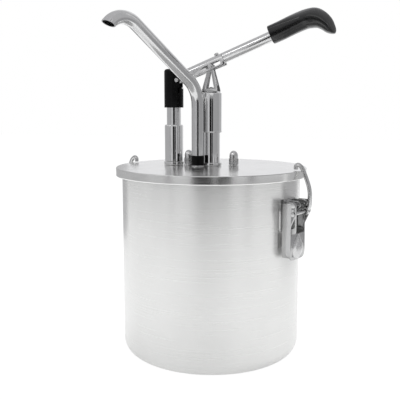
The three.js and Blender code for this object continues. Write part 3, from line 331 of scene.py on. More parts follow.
pot_steel = finish(
    "pot steel brushed round", (0.79, 0.79, 0.78), (0.76, 0.76, 0.75), (0.26, 0.34), (9, 9, 1600), 0.025,
    anisotropic=0.5, marks_size=12,
)
lid_steel = finish(
    "lid steel spun", (0.86, 0.86, 0.85), (0.82, 0.82, 0.81), (0.18, 0.26), (60, 60, 500), 0.02, marks_size=18
)
polished_steel = finish(
    "polished steel", (0.84, 0.84, 0.84), (0.78, 0.78, 0.78), (0.05, 0.10), (90, 90, 90), 0.02, marks_size=45
)
plain_steel = finish(
    "plain steel", (0.66, 0.66, 0.66), (0.58, 0.58, 0.58), (0.20, 0.32), (200, 200, 200), 0.05, marks_size=80
)
spout_steel = finish(
    "spout steel", (0.75, 0.75, 0.75), (0.70, 0.70, 0.70), (0.13, 0.19), (60, 60, 60), 0.02, marks_size=40
)
satin_steel = finish(
    "satin steel", (0.76, 0.76, 0.76), (0.70, 0.70, 0.70), (0.15, 0.22), (60, 60, 60), 0.02, marks_size=40
)
grip_plastic = finish(
    "grip plastic", (0.0025, 0.0025, 0.0026), (0.004, 0.004, 0.0042), (0.17, 0.25), (500, 500, 500), 0.05,
    metallic=0.0, marks_size=50, gloss=0.8,
)
latch_steel = finish(
    "latch steel", (0.50, 0.50, 0.50), (0.42, 0.42, 0.42), (0.12, 0.22), (150, 150, 150), 0.04, marks_size=60
)
black_plastic = finish(
    "black plastic", (0.0025, 0.0025, 0.0026), (0.004, 0.004, 0.0042), (0.30, 0.42), (700, 700, 700), 0.06,
    metallic=0.0, marks_size=60, gloss=0.10,
)
pale_nylon = finish(
    "pale nylon", (0.78, 0.77, 0.72), (0.70, 0.69, 0.64), (0.45, 0.55), (300, 300, 300), 0.05,
    metallic=0.0, marks_size=50,
)
seal_rubber = finish(
    "seal rubber", (0.025, 0.025, 0.025), (0.04, 0.04, 0.04), (0.6, 0.75), (500, 500, 500), 0.1,
    metallic=0.0, marks_size=70,
)

# Pot.
# A deep-drawn stainless pot with a rounded foot and a rolled rim that carries the lid's seal.
# It is turned from one outline, inside and out, with the wall's own thickness.


def low(node):
    """The height of a CAD node's lowest point, in millimetres."""
    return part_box(node)[0][2] / mm


def high(node, axis=2):
    """A CAD node's highest coordinate on an axis, in millimetres."""
    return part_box(node)[1][axis] / mm


def arc(x, z, radius, start, end, steps):
    """Points of an arc in an outline's plane, from one angle to another in degrees."""
    points = []
    for step in range(steps + 1):
        angle = math.radians(start + (end - start) * step / steps)
        points.append((x + radius * math.cos(angle), z + radius * math.sin(angle)))
    return points


def made(name, shape, place=Matrix.Identity(4), crease=32):
    """A piece from a bmesh in millimetres, set in its place in metres, smooth but for its sharp edges."""
    bmesh.ops.recalc_face_normals(shape, faces=shape.faces)
    mesh = bpy.data.meshes.new(name)
    shape.to_mesh(mesh)
    shape.free()
    mesh.transform(Matrix.Scale(mm, 4) @ place)
    mesh.polygons.foreach_set("use_smooth", [True] * len(mesh.polygons))
    mesh.set_sharp_from_angle(angle=math.radians(crease))
    piece = bpy.data.objects.new(name, mesh)
    bpy.context.scene.collection.objects.link(piece)
    return piece


def turned(name, outline, sides, place=Matrix.Identity(4), crease=32):
    """A piece turned about Z from (radius, height) points, closed on itself or on the axis."""
    on_axis = 1e-6
    shape = bmesh.new()
    rings = []
    for radius, height in outline:
        if radius < on_axis:
            rings.append([shape.verts.new((0, 0, height))])
            continue
        turns = [math.tau * i / sides for i in range(sides)]
        rings.append([shape.verts.new((radius * math.cos(t), radius * math.sin(t), height)) for t in turns])
    pairs = list(zip(rings, rings[1:]))
    if outline[0][0] > on_axis or outline[-1][0] > on_axis:
        pairs.append((rings[-1], rings[0]))
    for first, second in pairs:
        for i in range(sides):
            j = (i + 1) % sides
            corners = [first[i % len(first)], first[j % len(first)]]
            corners += [second[j % len(second)], second[i % len(second)]]
            corners = list(dict.fromkeys(corners))
            if len(corners) > 2:
                shape.faces.new(corners)
    return made(name, shape, place, crease)


def dress(piece, body, slot, material, *nodes):
    """Gives a piece its finish, its body and the CAD nodes that it stands for."""
    piece.data.materials.clear()
    piece.data.materials.append(material)
    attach(piece, body)
    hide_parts(*nodes)
    return piece


pot_wall = 1.2
pot_corner = 13
rim_roll = 1.8
pot_top = high("pot")
pot_radius = high("pot", 0) - 2 * rim_roll
pot_outline = [
    (0, 0),
    *arc(pot_radius - pot_corner, pot_corner, pot_corner, -90, 0, 12),
    *arc(pot_radius + rim_roll, pot_top - rim_roll, rim_roll, 180, 450, 16),
    (pot_radius - pot_wall, pot_top),
    *arc(pot_radius - pot_corner, pot_corner, pot_corner - pot_wall, 0, -90, 10),
    (0, pot_wall),
]
dress(turned("pot_shell", pot_outline, 192), "root", "brushed_pot_steel", pot_steel, "pot")

# Lid.
# A pressed stainless lid with a raised panel, a rounded edge and a straight skirt over the pot's rim.
# It is turned from one outline and bored for the pump's guide tube.
lid_sheet = 1.2
lid_edge = 0.9
panel_radius = 72
panel_rise = 0.7
panel_slope = 1.4
panel_flat = 58
panel_fade = 34
panel_shares = (0, 0.2, 0.4, 0.6, 0.8, 1)
lid_top = high("lid")
lid_radius = high("lid", 0) - 0.01
rim_top = lid_top - panel_rise
lid_bore = 9.05
skirt_bottom = low("lid")
lid_outline = [
    (lid_bore, lid_top),
    *[(panel_flat + panel_fade * t, lid_top - panel_rise * t * t * (3 - 2 * t)) for t in panel_shares],
    *arc(lid_radius - lid_edge, rim_top - lid_edge, lid_edge, 90, 0, 8),
    (lid_radius - 0.15, skirt_bottom + 1.6),
    (lid_radius, skirt_bottom + 0.9),
    (lid_radius, skirt_bottom + 0.4),
    (lid_radius - 0.3, skirt_bottom),
    (lid_radius - lid_sheet + 0.3, skirt_bottom),
    (lid_radius - lid_sheet, skirt_bottom + 0.3),
    (lid_radius - lid_sheet, rim_top - lid_sheet),
    (panel_radius - lid_sheet / 2, rim_top - lid_sheet),
    (panel_radius - panel_slope - lid_sheet / 2, lid_top - lid_sheet),
    (lid_bore, lid_top - lid_sheet),
]
dress(turned("lid_shell", lid_outline, 192, crease=50), "root", "brushed_pot_steel", lid_steel, "lid")

# Post.
# A polished two-diameter post screwed to the lid on a washer; its slotted black cap holds the lever's pin.
# The tubes are turned with rounded shoulders, and the cap keeps its slot and its two narrow slits.
post_x = -38.6
post_at = Matrix.Translation((post_x, 0, 0))
post_radius = 9.25
post_foot_edge = 0.25
pivot_x = -33.5
pivot_height = 270


def tube_outline(node, outer, inner, edge):
    """A tube's outline between its CAD node's heights, with rounded outer edges."""
    foot = low(node)
    head = high(node)
    return [
        (inner, foot),
        *arc(outer - edge, foot + edge, edge, -90, 0, 5),
        *arc(outer - edge, head - edge, edge, 0, 90, 6),
        (inner, head),
    ]


post_foot_outline = tube_outline("post_washer", outer=10, inner=4.3, edge=0.5)
dress(turned("post_foot_ring", post_foot_outline, 64, post_at),
      "root", "polished_steel", polished_steel, "post_washer")
post_outline = tube_outline("post_tube", outer=post_radius, inner=7.4, edge=1.4)
post_outline[1:7] = [
    (post_radius - post_foot_edge, low("post_tube")),
    (post_radius, low("post_tube") + post_foot_edge),
]
dress(turned("post_lower", post_outline, 64, post_at), "root", "polished_steel", polished_steel, "post_tube")
post_upper_outline = tube_outline("post_inner_tube", outer=7.1, inner=5.9, edge=0.4)
dress(turned("post_upper", post_upper_outline, 64, post_at),
      "root", "polished_steel", polished_steel, "post_inner_tube")


eased_crease = 35


def refined(name, node, bevel):
    """A CAD node's solid copied with merged corners, true flats, eased edges and smooth rounds."""
    shape = bmesh.new()
    shape.from_mesh(frame["nodes"][node].data)
    shape.transform(Matrix.Scale(1 / mm, 4))
    bmesh.ops.remove_doubles(shape, verts=shape.verts, dist=0.005)
    bmesh.ops.dissolve_limit(shape, angle_limit=math.radians(0.6), verts=shape.verts, edges=shape.edges)
    piece = made(name, shape, crease=eased_crease)
    eased = piece.modifiers.new("eased", "BEVEL")
    eased.width = bevel * mm
    eased.segments = 2
    eased.limit_method = "ANGLE"
    eased.angle_limit = math.radians(eased_crease)
    return settled(piece)


def settled(piece):
    """A piece with its modifiers worked into its mesh."""
    graph = bpy.context.evaluated_depsgraph_get()
    mesh = bpy.data.meshes.new_from_object(piece.evaluated_get(graph))
    piece.modifiers.clear()
    piece.data = mesh
    mesh.polygons.foreach_set("use_smooth", [True] * len(mesh.polygons))
    mesh.set_sharp_from_angle(angle=math.radians(eased_crease))
    return piece


dress(refined("post_cap_moulded", "post_cap", 0.35), "root", "black_plastic", black_plastic, "post_cap")


def bar_across(name, radius, start, end, x, z, place=Matrix.Identity(4), edge=0.3):
    """A round bar along Y with eased ends, through the point x, z."""
    outline = [
        (0, start),
        *arc(radius - edge, start + edge, edge, -90, 0, 3),
        *arc(radius - edge, end - edge, edge, 0, 90, 3),
        (0, end),
    ]
    lay = Matrix.Translation((x, 0, z)) @ Matrix.Rotation(-math.pi / 2, 4, "X")
    return turned(name, outline, 40, place @ lay)


pivot_pin = bar_across("pivot_pin_turned", radius=2, start=-8.5, end=8.5, x=pivot_x, z=pivot_height)
dress(pivot_pin, "root", "plain_steel", plain_steel, "pivot_pin")

# Guide tube and plunger sleeve.
# Two polished tubes, one sliding over the other as the lever pumps, on a chamfered washer.
# The sleeve has a fine bead at its mouth, and its cap and nut show between the yoke's ears.
guide_outline = tube_outline("guide_tube", outer=8.75, inner=7.5, edge=0.5)
dress(turned("guide_tube_drawn", guide_outline, 64), "root", "polished_steel", polished_steel, "guide_tube")
guide_foot_outline = tube_outline("guide_washer", outer=10.6, inner=9.05, edge=0.6)
dress(turned("guide_foot_ring", guide_foot_outline, 64),
      "root", "polished_steel", polished_steel, "guide_washer")
sleeve_foot = low("plunger_sleeve")
sleeve_head = high("plunger_sleeve")
sleeve_radius = 10.4
sleeve_bore = 9.05
sleeve_edge = 0.5
bead_middle = sleeve_foot + 0.8
sleeve_outline = [
    (sleeve_bore, sleeve_foot),
    (sleeve_radius, sleeve_foot),
    *arc(sleeve_radius, bead_middle, sleeve_edge, -90, 90, 6)[1:],
    (sleeve_radius, bead_middle + 0.8),
    *arc(sleeve_radius - sleeve_edge, sleeve_head - sleeve_edge, sleeve_edge, 0, 90, 4),
    (sleeve_bore, sleeve_head),
]
dress(turned("plunger_sleeve_drawn", sleeve_outline, 64),
      "plunger", "polished_steel", polished_steel, "plunger_sleeve")
dress(refined("yoke_folded", "yoke", 0.2), "plunger", "polished_steel", latch_steel, "yoke")
yoke_nut_foot = low("yoke_nut")
yoke_nut_radius = 3.9
yoke_nut_top = high("yoke_nut") + 0.3
yoke_nut_outline = [
    (0, yoke_nut_foot),
    (yoke_nut_radius, yoke_nut_foot),
    (yoke_nut_radius, yoke_nut_foot + 1.6),
    *arc(0, yoke_nut_top - 3.3, 3.4, 12, 90, 6)[:-1],
    (0, yoke_nut_top),
]
dress(turned("yoke_nut_domed", yoke_nut_outline, 40), "plunger", "plain_steel", plain_steel, "yoke_nut")
yoke_pin_height = 283
yoke_half_width = 5.5
yoke_pin_end = 6.2
yoke_pin_shank = bar_across(
    "yoke_pin_turned", radius=1.5, start=-yoke_half_width, end=yoke_half_width, x=0, z=yoke_pin_height
)
yoke_pin_heads = [
    bar_across("yoke_pin_head_near", 2.3, -yoke_pin_end, -yoke_half_width, 0, yoke_pin_height, edge=0.25),
    bar_across("yoke_pin_head_far", 2.3, yoke_half_width, yoke_pin_end, 0, yoke_pin_height, edge=0.25),
]


def fused(piece, *others):
    """One closed piece made of several that meet."""
    for other in others:
        union = piece.modifiers.new("fused", "BOOLEAN")
        union.operation = "UNION"
        union.solver = "EXACT"
        union.object = other
        settled(piece)
        bpy.data.objects.remove(other)
    return piece


dress(fused(yoke_pin_shank, *yoke_pin_heads), "plunger", "plain_steel", plain_steel, "yoke_pin")

# Riser and spout.
# A satin tube that stands in a black collar, bends over the pot and turns down at its open mouth.
# It is swept, bore and all, along the bends that the CAD node follows; only its mouth is sawn off squarer,
# as in the photo, where its dark opening is seen from below.
riser_x = -9.6
riser_y = -14.6
spout_heading = 240
riser_at = Matrix.Translation((riser_x, riser_y, 0))
spout_turn = riser_at @ Matrix.Rotation(math.radians(spout_heading), 4, "Z")
tube_radius = 5.97
tube_bore = 5
spigot_radius = 4.6
bend_start = lid_top + 59.7
bend_radius = 29
spout_slope = 36.3
crown_reach = 88.5
crown_height = lid_top + 134.1
crown_radius = 22
crown_drop = 55
mouth_reach = 104.15
mouth_height = lid_top + 127.7
mouth_tilt = math.tan(math.radians(24))


def swept(name, places, radius, sides, place, bore=0, mouth=None):
    """A tube or bar along (x, z, slope) places in the XZ plane, sawn off below a mouth where it has one."""
    shape = bmesh.new()

    def hoop(x, z, slope, size):
        rise = Vector((-math.sin(slope), 0, math.cos(slope)))
        points = []
        for i in range(sides):
            turn = math.tau * i / sides
            point = Vector((x, size * math.cos(turn), z)) + rise * (size * math.sin(turn))
            points.append(shape.verts.new(point))
        return points

    rings = [hoop(x, z, math.radians(slope), radius) for x, z, slope in places]
    if bore:
        rings += [hoop(x, z, math.radians(slope), bore) for x, z, slope in places][::-1]
        pairs = list(zip(rings, rings[1:] + rings[:1]))
    else:
        pairs = list(zip(rings, rings[1:]))
        shape.faces.new(rings[0])
        shape.faces.new(rings[-1])
    for first, second in pairs:
        for i in range(sides):
            j = (i + 1) % sides
            shape.faces.new((first[i], first[j], second[j], second[i]))
    if mouth:
        x0, z0, tilt = mouth
        near = [face for face in shape.faces if face.calc_center_median().x > x0 - 4 * radius]
        nearby = list({part for face in near for part in (*face.verts, *face.edges)})
        bmesh.ops.bisect_plane(
            shape, geom=[*nearby, *near], plane_co=(x0, 0, z0), plane_no=(tilt, 0, -1), clear_outer=True
        )
        rim = [edge for edge in shape.edges if len(edge.link_faces) == 1]
        bmesh.ops.bridge_loops(shape, edges=rim)
    return made(name, shape, place, crease=40)


spout_foot = high("riser_collar") + 0.3
spout_places = [(0, spout_foot, 90), (0, bend_start, 90)]
bend_steps = 18
for step in range(1, bend_steps + 1):
    slope = 90 - (90 - spout_slope) * step / bend_steps
    turn = math.radians(90 - slope)
    spout_places.append((
        bend_radius * (1 - math.cos(turn)),
        bend_start + bend_radius * math.sin(turn),
        slope,
    ))
crown_steps = 24
for step in range(crown_steps + 1):
    slope = spout_slope - (spout_slope + crown_drop) * step / crown_steps
    turn = math.radians(slope)
    spout_places.append((
        crown_reach - crown_radius * math.sin(turn),
        crown_height - crown_radius + crown_radius * math.cos(turn),
        slope,
    ))
run_out = 2 * tube_radius
last_x, last_z, last_slope = spout_places[-1]
spout_places.append((
    last_x + run_out * math.cos(math.radians(crown_drop)),
    last_z - run_out * math.sin(math.radians(crown_drop)),
    last_slope,
))
spout_mouth = (mouth_reach, mouth_height, mouth_tilt)
spout_piece = swept("spout_tube", spout_places, tube_radius, 48, spout_turn, tube_bore, spout_mouth)
spigot_wall = 1
spigot_depth = 10
spigot_outline = [
    (spigot_radius - spigot_wall, spout_foot - spigot_depth),
    (spigot_radius, spout_foot - spigot_depth),
    (spigot_radius, spout_foot + 0.1),
    (tube_bore + 0.5, spout_foot + 0.1),
    (tube_bore + 0.5, spout_foot + 1),
    (spigot_radius - spigot_wall, spout_foot + 1),
]
spigot = turned("spigot", spigot_outline, 48, riser_at)
dress(fused(spout_piece, spigot), "spout", "polished_steel", spout_steel, "spout")

collar_outline = tube_outline("riser_collar", outer=6.25, inner=4.9, edge=0.45)
dress(turned("riser_collar_moulded", collar_outline, 64, riser_at),
      "root", "black_plastic", black_plastic, "riser_collar")
riser_foot_outline = tube_outline("riser_washer", outer=6.42, inner=4.9, edge=0.2)
dress(turned("riser_foot_ring", riser_foot_outline, 64, riser_at),
      "root", "polished_steel", polished_steel, "riser_washer")

# Cap nuts.
# Two satin domed nuts on thin washers, each over a bolt that carries the pump's head plate.
# Their collars are knurled: a ring of fine ridges laid round each by Geometry Nodes.
knurl, knurl_in, knurl_out = new_group(
    "knurl",
    [
        ("Radius", "INPUT", "NodeSocketFloat", 0.0046),
        ("Foot", "INPUT", "NodeSocketFloat", 0.188),
        ("Height", "INPUT", "NodeSocketFloat", 0.005),
        ("Ridge", "INPUT", "NodeSocketFloat", 0.0003),
        ("Count", "INPUT", "NodeSocketInt", 36),
        ("Finish", "INPUT", "NodeSocketMaterial", None),
        ("Geometry", "OUTPUT", "NodeSocketGeometry", None),
    ],
    "GeometryNodeTree",
)
knurl_ring = knurl.nodes.new("GeometryNodeMeshCircle")
knurl_ridge = knurl.nodes.new("GeometryNodeMeshCylinder")
knurl_ridge.inputs["Vertices"].default_value = 8
knurl_spread = knurl.nodes.new("GeometryNodeInstanceOnPoints")
knurl_lift = knurl.nodes.new("GeometryNodeTransform")
knurl_middle = knurl.nodes.new("ShaderNodeMath")
knurl_middle.operation = "MULTIPLY_ADD"
knurl_middle.inputs[1].default_value = 0.5
knurl_place = knurl.nodes.new("ShaderNodeCombineXYZ")
knurl_real = knurl.nodes.new("GeometryNodeRealizeInstances")
knurl_paint = knurl.nodes.new("GeometryNodeSetMaterial")
knurl.links.new(knurl_in.outputs["Count"], knurl_ring.inputs["Vertices"])
knurl.links.new(knurl_in.outputs["Radius"], knurl_ring.inputs["Radius"])
knurl.links.new(knurl_in.outputs["Ridge"], knurl_ridge.inputs["Radius"])
knurl.links.new(knurl_in.outputs["Height"], knurl_ridge.inputs["Depth"])
knurl.links.new(knurl_ring.outputs["Mesh"], knurl_spread.inputs["Points"])
knurl.links.new(knurl_ridge.outputs["Mesh"], knurl_spread.inputs["Instance"])
knurl.links.new(knurl_in.outputs["Height"], knurl_middle.inputs[0])
knurl.links.new(knurl_in.outputs["Foot"], knurl_middle.inputs[2])
knurl.links.new(knurl_middle.outputs[0], knurl_place.inputs["Z"])
knurl.links.new(knurl_spread.outputs["Instances"], knurl_lift.inputs["Geometry"])
knurl.links.new(knurl_place.outputs[0], knurl_lift.inputs["Translation"])
knurl.links.new(knurl_lift.outputs["Geometry"], knurl_real.inputs["Geometry"])
knurl.links.new(knurl_real.outputs["Geometry"], knurl_paint.inputs["Geometry"])
knurl.links.new(knurl_in.outputs["Finish"], knurl_paint.inputs["Material"])
knurl.links.new(knurl_paint.outputs["Geometry"], knurl_out.inputs["Geometry"])


def grown(name, tree, values, place=Matrix.Identity(4)):
    """The plain mesh that a Geometry Nodes tree makes with its named inputs set, moved to its place."""
    holder = bpy.data.objects.new(name, bpy.data.meshes.new(name))
    bpy.context.scene.collection.objects.link(holder)
    pattern = holder.modifiers.new("pattern", "NODES")
    pattern.node_group = tree
    for item in tree.interface.items_tree:
        if item.in_out == "INPUT":
            pattern[item.identifier] = values[item.name]
    settled(holder)
    holder.data.transform(Matrix.Scale(mm, 4) @ place @ Matrix.Scale(1 / mm, 4))
    return holder


nut_reach = 23
nut_foot = low("cap_nut_right")
nut_top = high("cap_nut_right")
nut_bore = 3.3
nut_thread_top = nut_foot + 9
nut_collar_radius = 4.45
nut_collar_top = nut_foot + 6.4
nut_groove_radius = 4.15
nut_dome_radius = 4.35
nut_dome = 5.6
nut_dome_foot = nut_top - nut_dome
nut_turns = [math.radians(9 * step) for step in range(10)]
nut_outline = [
    (nut_bore, nut_foot),
    (nut_collar_radius, nut_foot),
    (nut_collar_radius, nut_collar_top),
    (nut_groove_radius, nut_collar_top + 0.2),
    (nut_groove_radius, nut_collar_top + 0.45),
    (nut_dome_radius, nut_collar_top + 0.6),
    *[(nut_dome_radius * math.cos(t), nut_dome_foot + nut_dome * math.sin(t)) for t in nut_turns],
    (0, nut_top),
    (0, nut_thread_top),
    (nut_bore, nut_thread_top),
]
nut_ridges = {
    "Radius": nut_collar_radius * mm,
    "Foot": (nut_foot + 0.3) * mm,
    "Height": 5.8 * mm,
    "Ridge": 0.28 * mm,
    "Count": 32,
    "Finish": plain_steel,
}
for side, reach in (("right", nut_reach), ("left", -nut_reach)):
    nut_at = Matrix.Translation((reach, 0, 0))
    dress(turned("cap_nut_domed_" + side, nut_outline, 48, nut_at),
          "root", "polished_steel", satin_steel, "cap_nut_" + side)
    ridges = grown("cap_nut_ridges_" + side, knurl, nut_ridges, nut_at)
    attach(ridges, "root")
    nut_ring_outline = tube_outline("cap_nut_washer_" + side, outer=5.2, inner=nut_bore, edge=0.2)
    dress(turned("cap_nut_ring_" + side, nut_ring_outline, 48, nut_at),
          "root", "polished_steel", polished_steel, "cap_nut_washer_" + side)

# Lever.
# A folded channel on the pivot, a satin tube screwed into it and a moulded black grip with a drooping nose.
# The tube is turned, and the grip is lofted through rounded sections along its bent spine.
lever_slope = math.radians(22.5)
lever_at = Matrix.Translation((pivot_x, 0, pivot_height)) @ Matrix.Rotation(-lever_slope, 4, "Y")
lever_offset = 1.78
lever_tube_radius = 5.1
lever_tube_edge = 0.5
lever_tube_start = 50.5
lever_tube_end = lever_tube_start + 58
along_lever = lever_at @ Matrix.Translation((0, 0, lever_offset)) @ Matrix.Rotation(math.pi / 2, 4, "Y")
dress(refined("lever_channel_folded", "lever_channel", 0.18),
      "lever", "polished_steel", satin_steel, "lever_channel")
lever_tube_outline = [
    (0, lever_tube_start),
    *arc(lever_tube_radius - lever_tube_edge, lever_tube_start + lever_tube_edge, lever_tube_edge, -90, 0, 4),
    (lever_tube_radius, lever_tube_end),
    (0, lever_tube_end),
]
lever_tube_piece = turned("lever_tube_turned", lever_tube_outline, 64, along_lever)
tongue = refined("tongue", "lever_tube", 0.1)
dress(fused(lever_tube_piece, tongue), "lever", "polished_steel", satin_steel, "lever_tube")
screw_at = lever_at @ Matrix.Translation((44.9, 0, 0))
screw_seat = lever_offset + 5.5
screw_shank = 1.3
screw_end = screw_seat - 3
screw_outline = [
    (0, screw_end),
    (screw_shank, screw_end),
    (screw_shank, screw_seat),
    (2.1, screw_seat),
    (2.25, screw_seat + 0.2),
    (2.25, screw_seat + 0.9),
    (1.9, screw_seat + 1.45),
    (1.2, screw_seat + 1.8),
    (0.9, screw_seat + 1.85),
    (0.75, screw_seat + 1.2),
    (0, screw_seat + 1.2),
]
dress(turned("lever_screw_head", screw_outline, 40, screw_at),
      "lever", "plain_steel", plain_steel, "lever_screw")

grip_reach = 100.2
grip_length = 55.05
grip_radius = 8.94
grip_drop = 22.8
grip_rise = 1.16
grip_width = 11.6
grip_shares = [
    (0, 0, 0.86, 0.66, 0),
    (0.004, 0, 0.93, 0.715, 0),
    (0.012, 0, 0.975, 0.755, 0),
    (0.03, 0, 0.985, 0.762, 0),
    (0.19, 0, 1, 0.78, 0),
    (0.39, -0.02, 1.01, 0.84, 0),
    (0.54, -0.02, 1.01, 0.92, 0),
    (0.66, 0, 1.01, 1, 0.08),
    (0.78, 0.083, 1.03, 1, 0.3),
    (0.868, 0.25, 0.91, 0.98, 0.5),
    (0.931, 0.513, 0.755, 0.92, 0.72),
    (0.96, 0.75, 0.578, 0.8, 0.84),
    (0.984, 0.908, 0.36, 0.6, 0.9),
    (1, 0.996, 0.11, 0.25, 0.92),
]


def eased_rows(rows, steps):
    """Rows of numbers joined by smooth curves, with so many steps between each two."""
    smooth = []
    last = len(rows) - 1
    for i in range(last):
        four = rows[max(i - 1, 0)], rows[i], rows[i + 1], rows[min(i + 2, last)]
        for step in range(steps):
            t = step / steps
            row = []
            for a, b, c, d in zip(*four):
                bent = (2 * a - 5 * b + 4 * c - d) * t * t + (3 * b - a - 3 * c + d) * t ** 3
                row.append(0.5 * (2 * b + (c - a) * t + bent))
            smooth.append(row)
    return [*smooth, list(rows[-1])]


# Each section of the grip has a squarish belly and a roof that grows flatter toward the nose, where the
# widest line climbs less above the middle.
grip_sides = 64
grip_belly = 2.6
root_roof = 2.4
nose_roof = 1.3
root_shoulder = 0.5
root_share = 0.5
nose_start_share = 0.6
nose_share = 0.3
grip_shape = bmesh.new()
grip_rings = []
for along, down, tall, wide, lean in eased_rows(grip_shares, 5):
    angle = lean * math.pi / 2
    upward = Vector((math.sin(angle), 0, math.cos(angle)))
    centre = Vector((grip_reach + along * grip_length, 0, lever_offset + grip_rise - down * grip_drop))
    ring = []
    past_root = min(along / root_share, 1)
    in_nose = max(0, min((along - nose_start_share) / nose_share, 1))
    roof = root_roof + (nose_roof - root_roof) * past_root
    shoulder = root_shoulder * (1 - past_root / 2 - in_nose / 2)
    for i in range(grip_sides):
        turn = math.tau * i / grip_sides
        across, up = math.cos(turn), math.sin(turn)
        square = roof if up > 0 else grip_belly
        reach = (abs(across) ** square + abs(up) ** square) ** (-1 / square)
        height = shoulder + (1 - shoulder if up > 0 else 1 + shoulder) * up * reach
        point = centre + upward * (grip_radius * tall * height)
        point.y = grip_width * wide * across * reach
        ring.append(grip_shape.verts.new(point))
    grip_rings.append(ring)
for first, second in zip(grip_rings, grip_rings[1:]):
    for i in range(grip_sides):
        j = (i + 1) % grip_sides
        grip_shape.faces.new((first[i], first[j], second[j], second[i]))
grip_shape.faces.new(grip_rings[0])
grip_shape.faces.new(grip_rings[-1])
dress(made("grip_moulded", grip_shape, lever_at), "lever", "black_plastic", grip_plastic, "grip")

# Latches.
# Two over-centre latches on the pot's wall: a base plate with lugs, a folded lever and a hook over the lid.
# The plates keep their CAD form with eased edges; the wire, rivets and pins are turned and swept, and a
# pressed pad fills the drop-shaped window of each lever.
pot_wall_at = 88
pin_line = pot_wall_at + 12
fulcrum_height = 156.5
hook_pin_height = 148.5
pin_inner = 6
pin_outer = 14.8
pin_head_end = 15.6
rivet_seat = pot_wall_at + 2.1
rivet_heights = {"upper": 152, "lower": 137}
rivet_outline = [
    (0, -1.5),
    (1.6, -1.5),
    (1.6, 0),
    (3.0, 0),
    *arc(0, -1.6, 3.2, 30, 90, 8)[1:-1],
    (0, 1.6),
]
hook_wire = 2
hook_tip = 88.6
hook_out = pin_line + 3.6
hook_top = 191
hook_bend = 4.4
hook_offset = 11
eye_outline = [
    (1.8, -1.7),
    (3.2, -2.0),
    (3.6, -1.6),
    (3.6, 1.6),
    (3.2, 2.0),
    (1.8, 1.7),
]
web_face = pot_wall_at + 9.7
drop_middle = 115
drop_radius = 10
drop_shoulder = 8.66
drop_rise = 5
drop_point = 8.4
drop_outline = [
    *arc(0, drop_middle, drop_radius, 150, 390, 30),
    *[(drop_shoulder * (1 - t), drop_middle + drop_rise + drop_point * t) for t in (0.25, 0.5, 0.75)],
    *[(drop_shoulder * (t - 1), drop_middle + drop_rise + drop_point * t) for t in (0.97, 0.75, 0.5, 0.25)],
]
drop_sides = len(drop_outline)
drop_rings = [
    (0.96, -0.9),
    (1, 0),
    (0.97, 0.5),
    (0.88, 1.0),
    (0.7, 1.5),
    (0.45, 1.9),
    (0.2, 2.05),
    (0.04, 2.1),
]
hook_lean = [
    (hook_out - 0.1, hook_top - 25.5),
    (hook_out - 1, hook_top - 20.5),
    (hook_out - 2.7, hook_top - 15.5),
    (hook_out - 4.8, hook_top - 10.5),
    (hook_out - 6.9, hook_top - 5.9),
    (hook_out - 8.8, hook_top - 2.5),
    (hook_out - 11, hook_top - 0.6),
    (hook_out - 12.2, hook_top - 0.05),
]
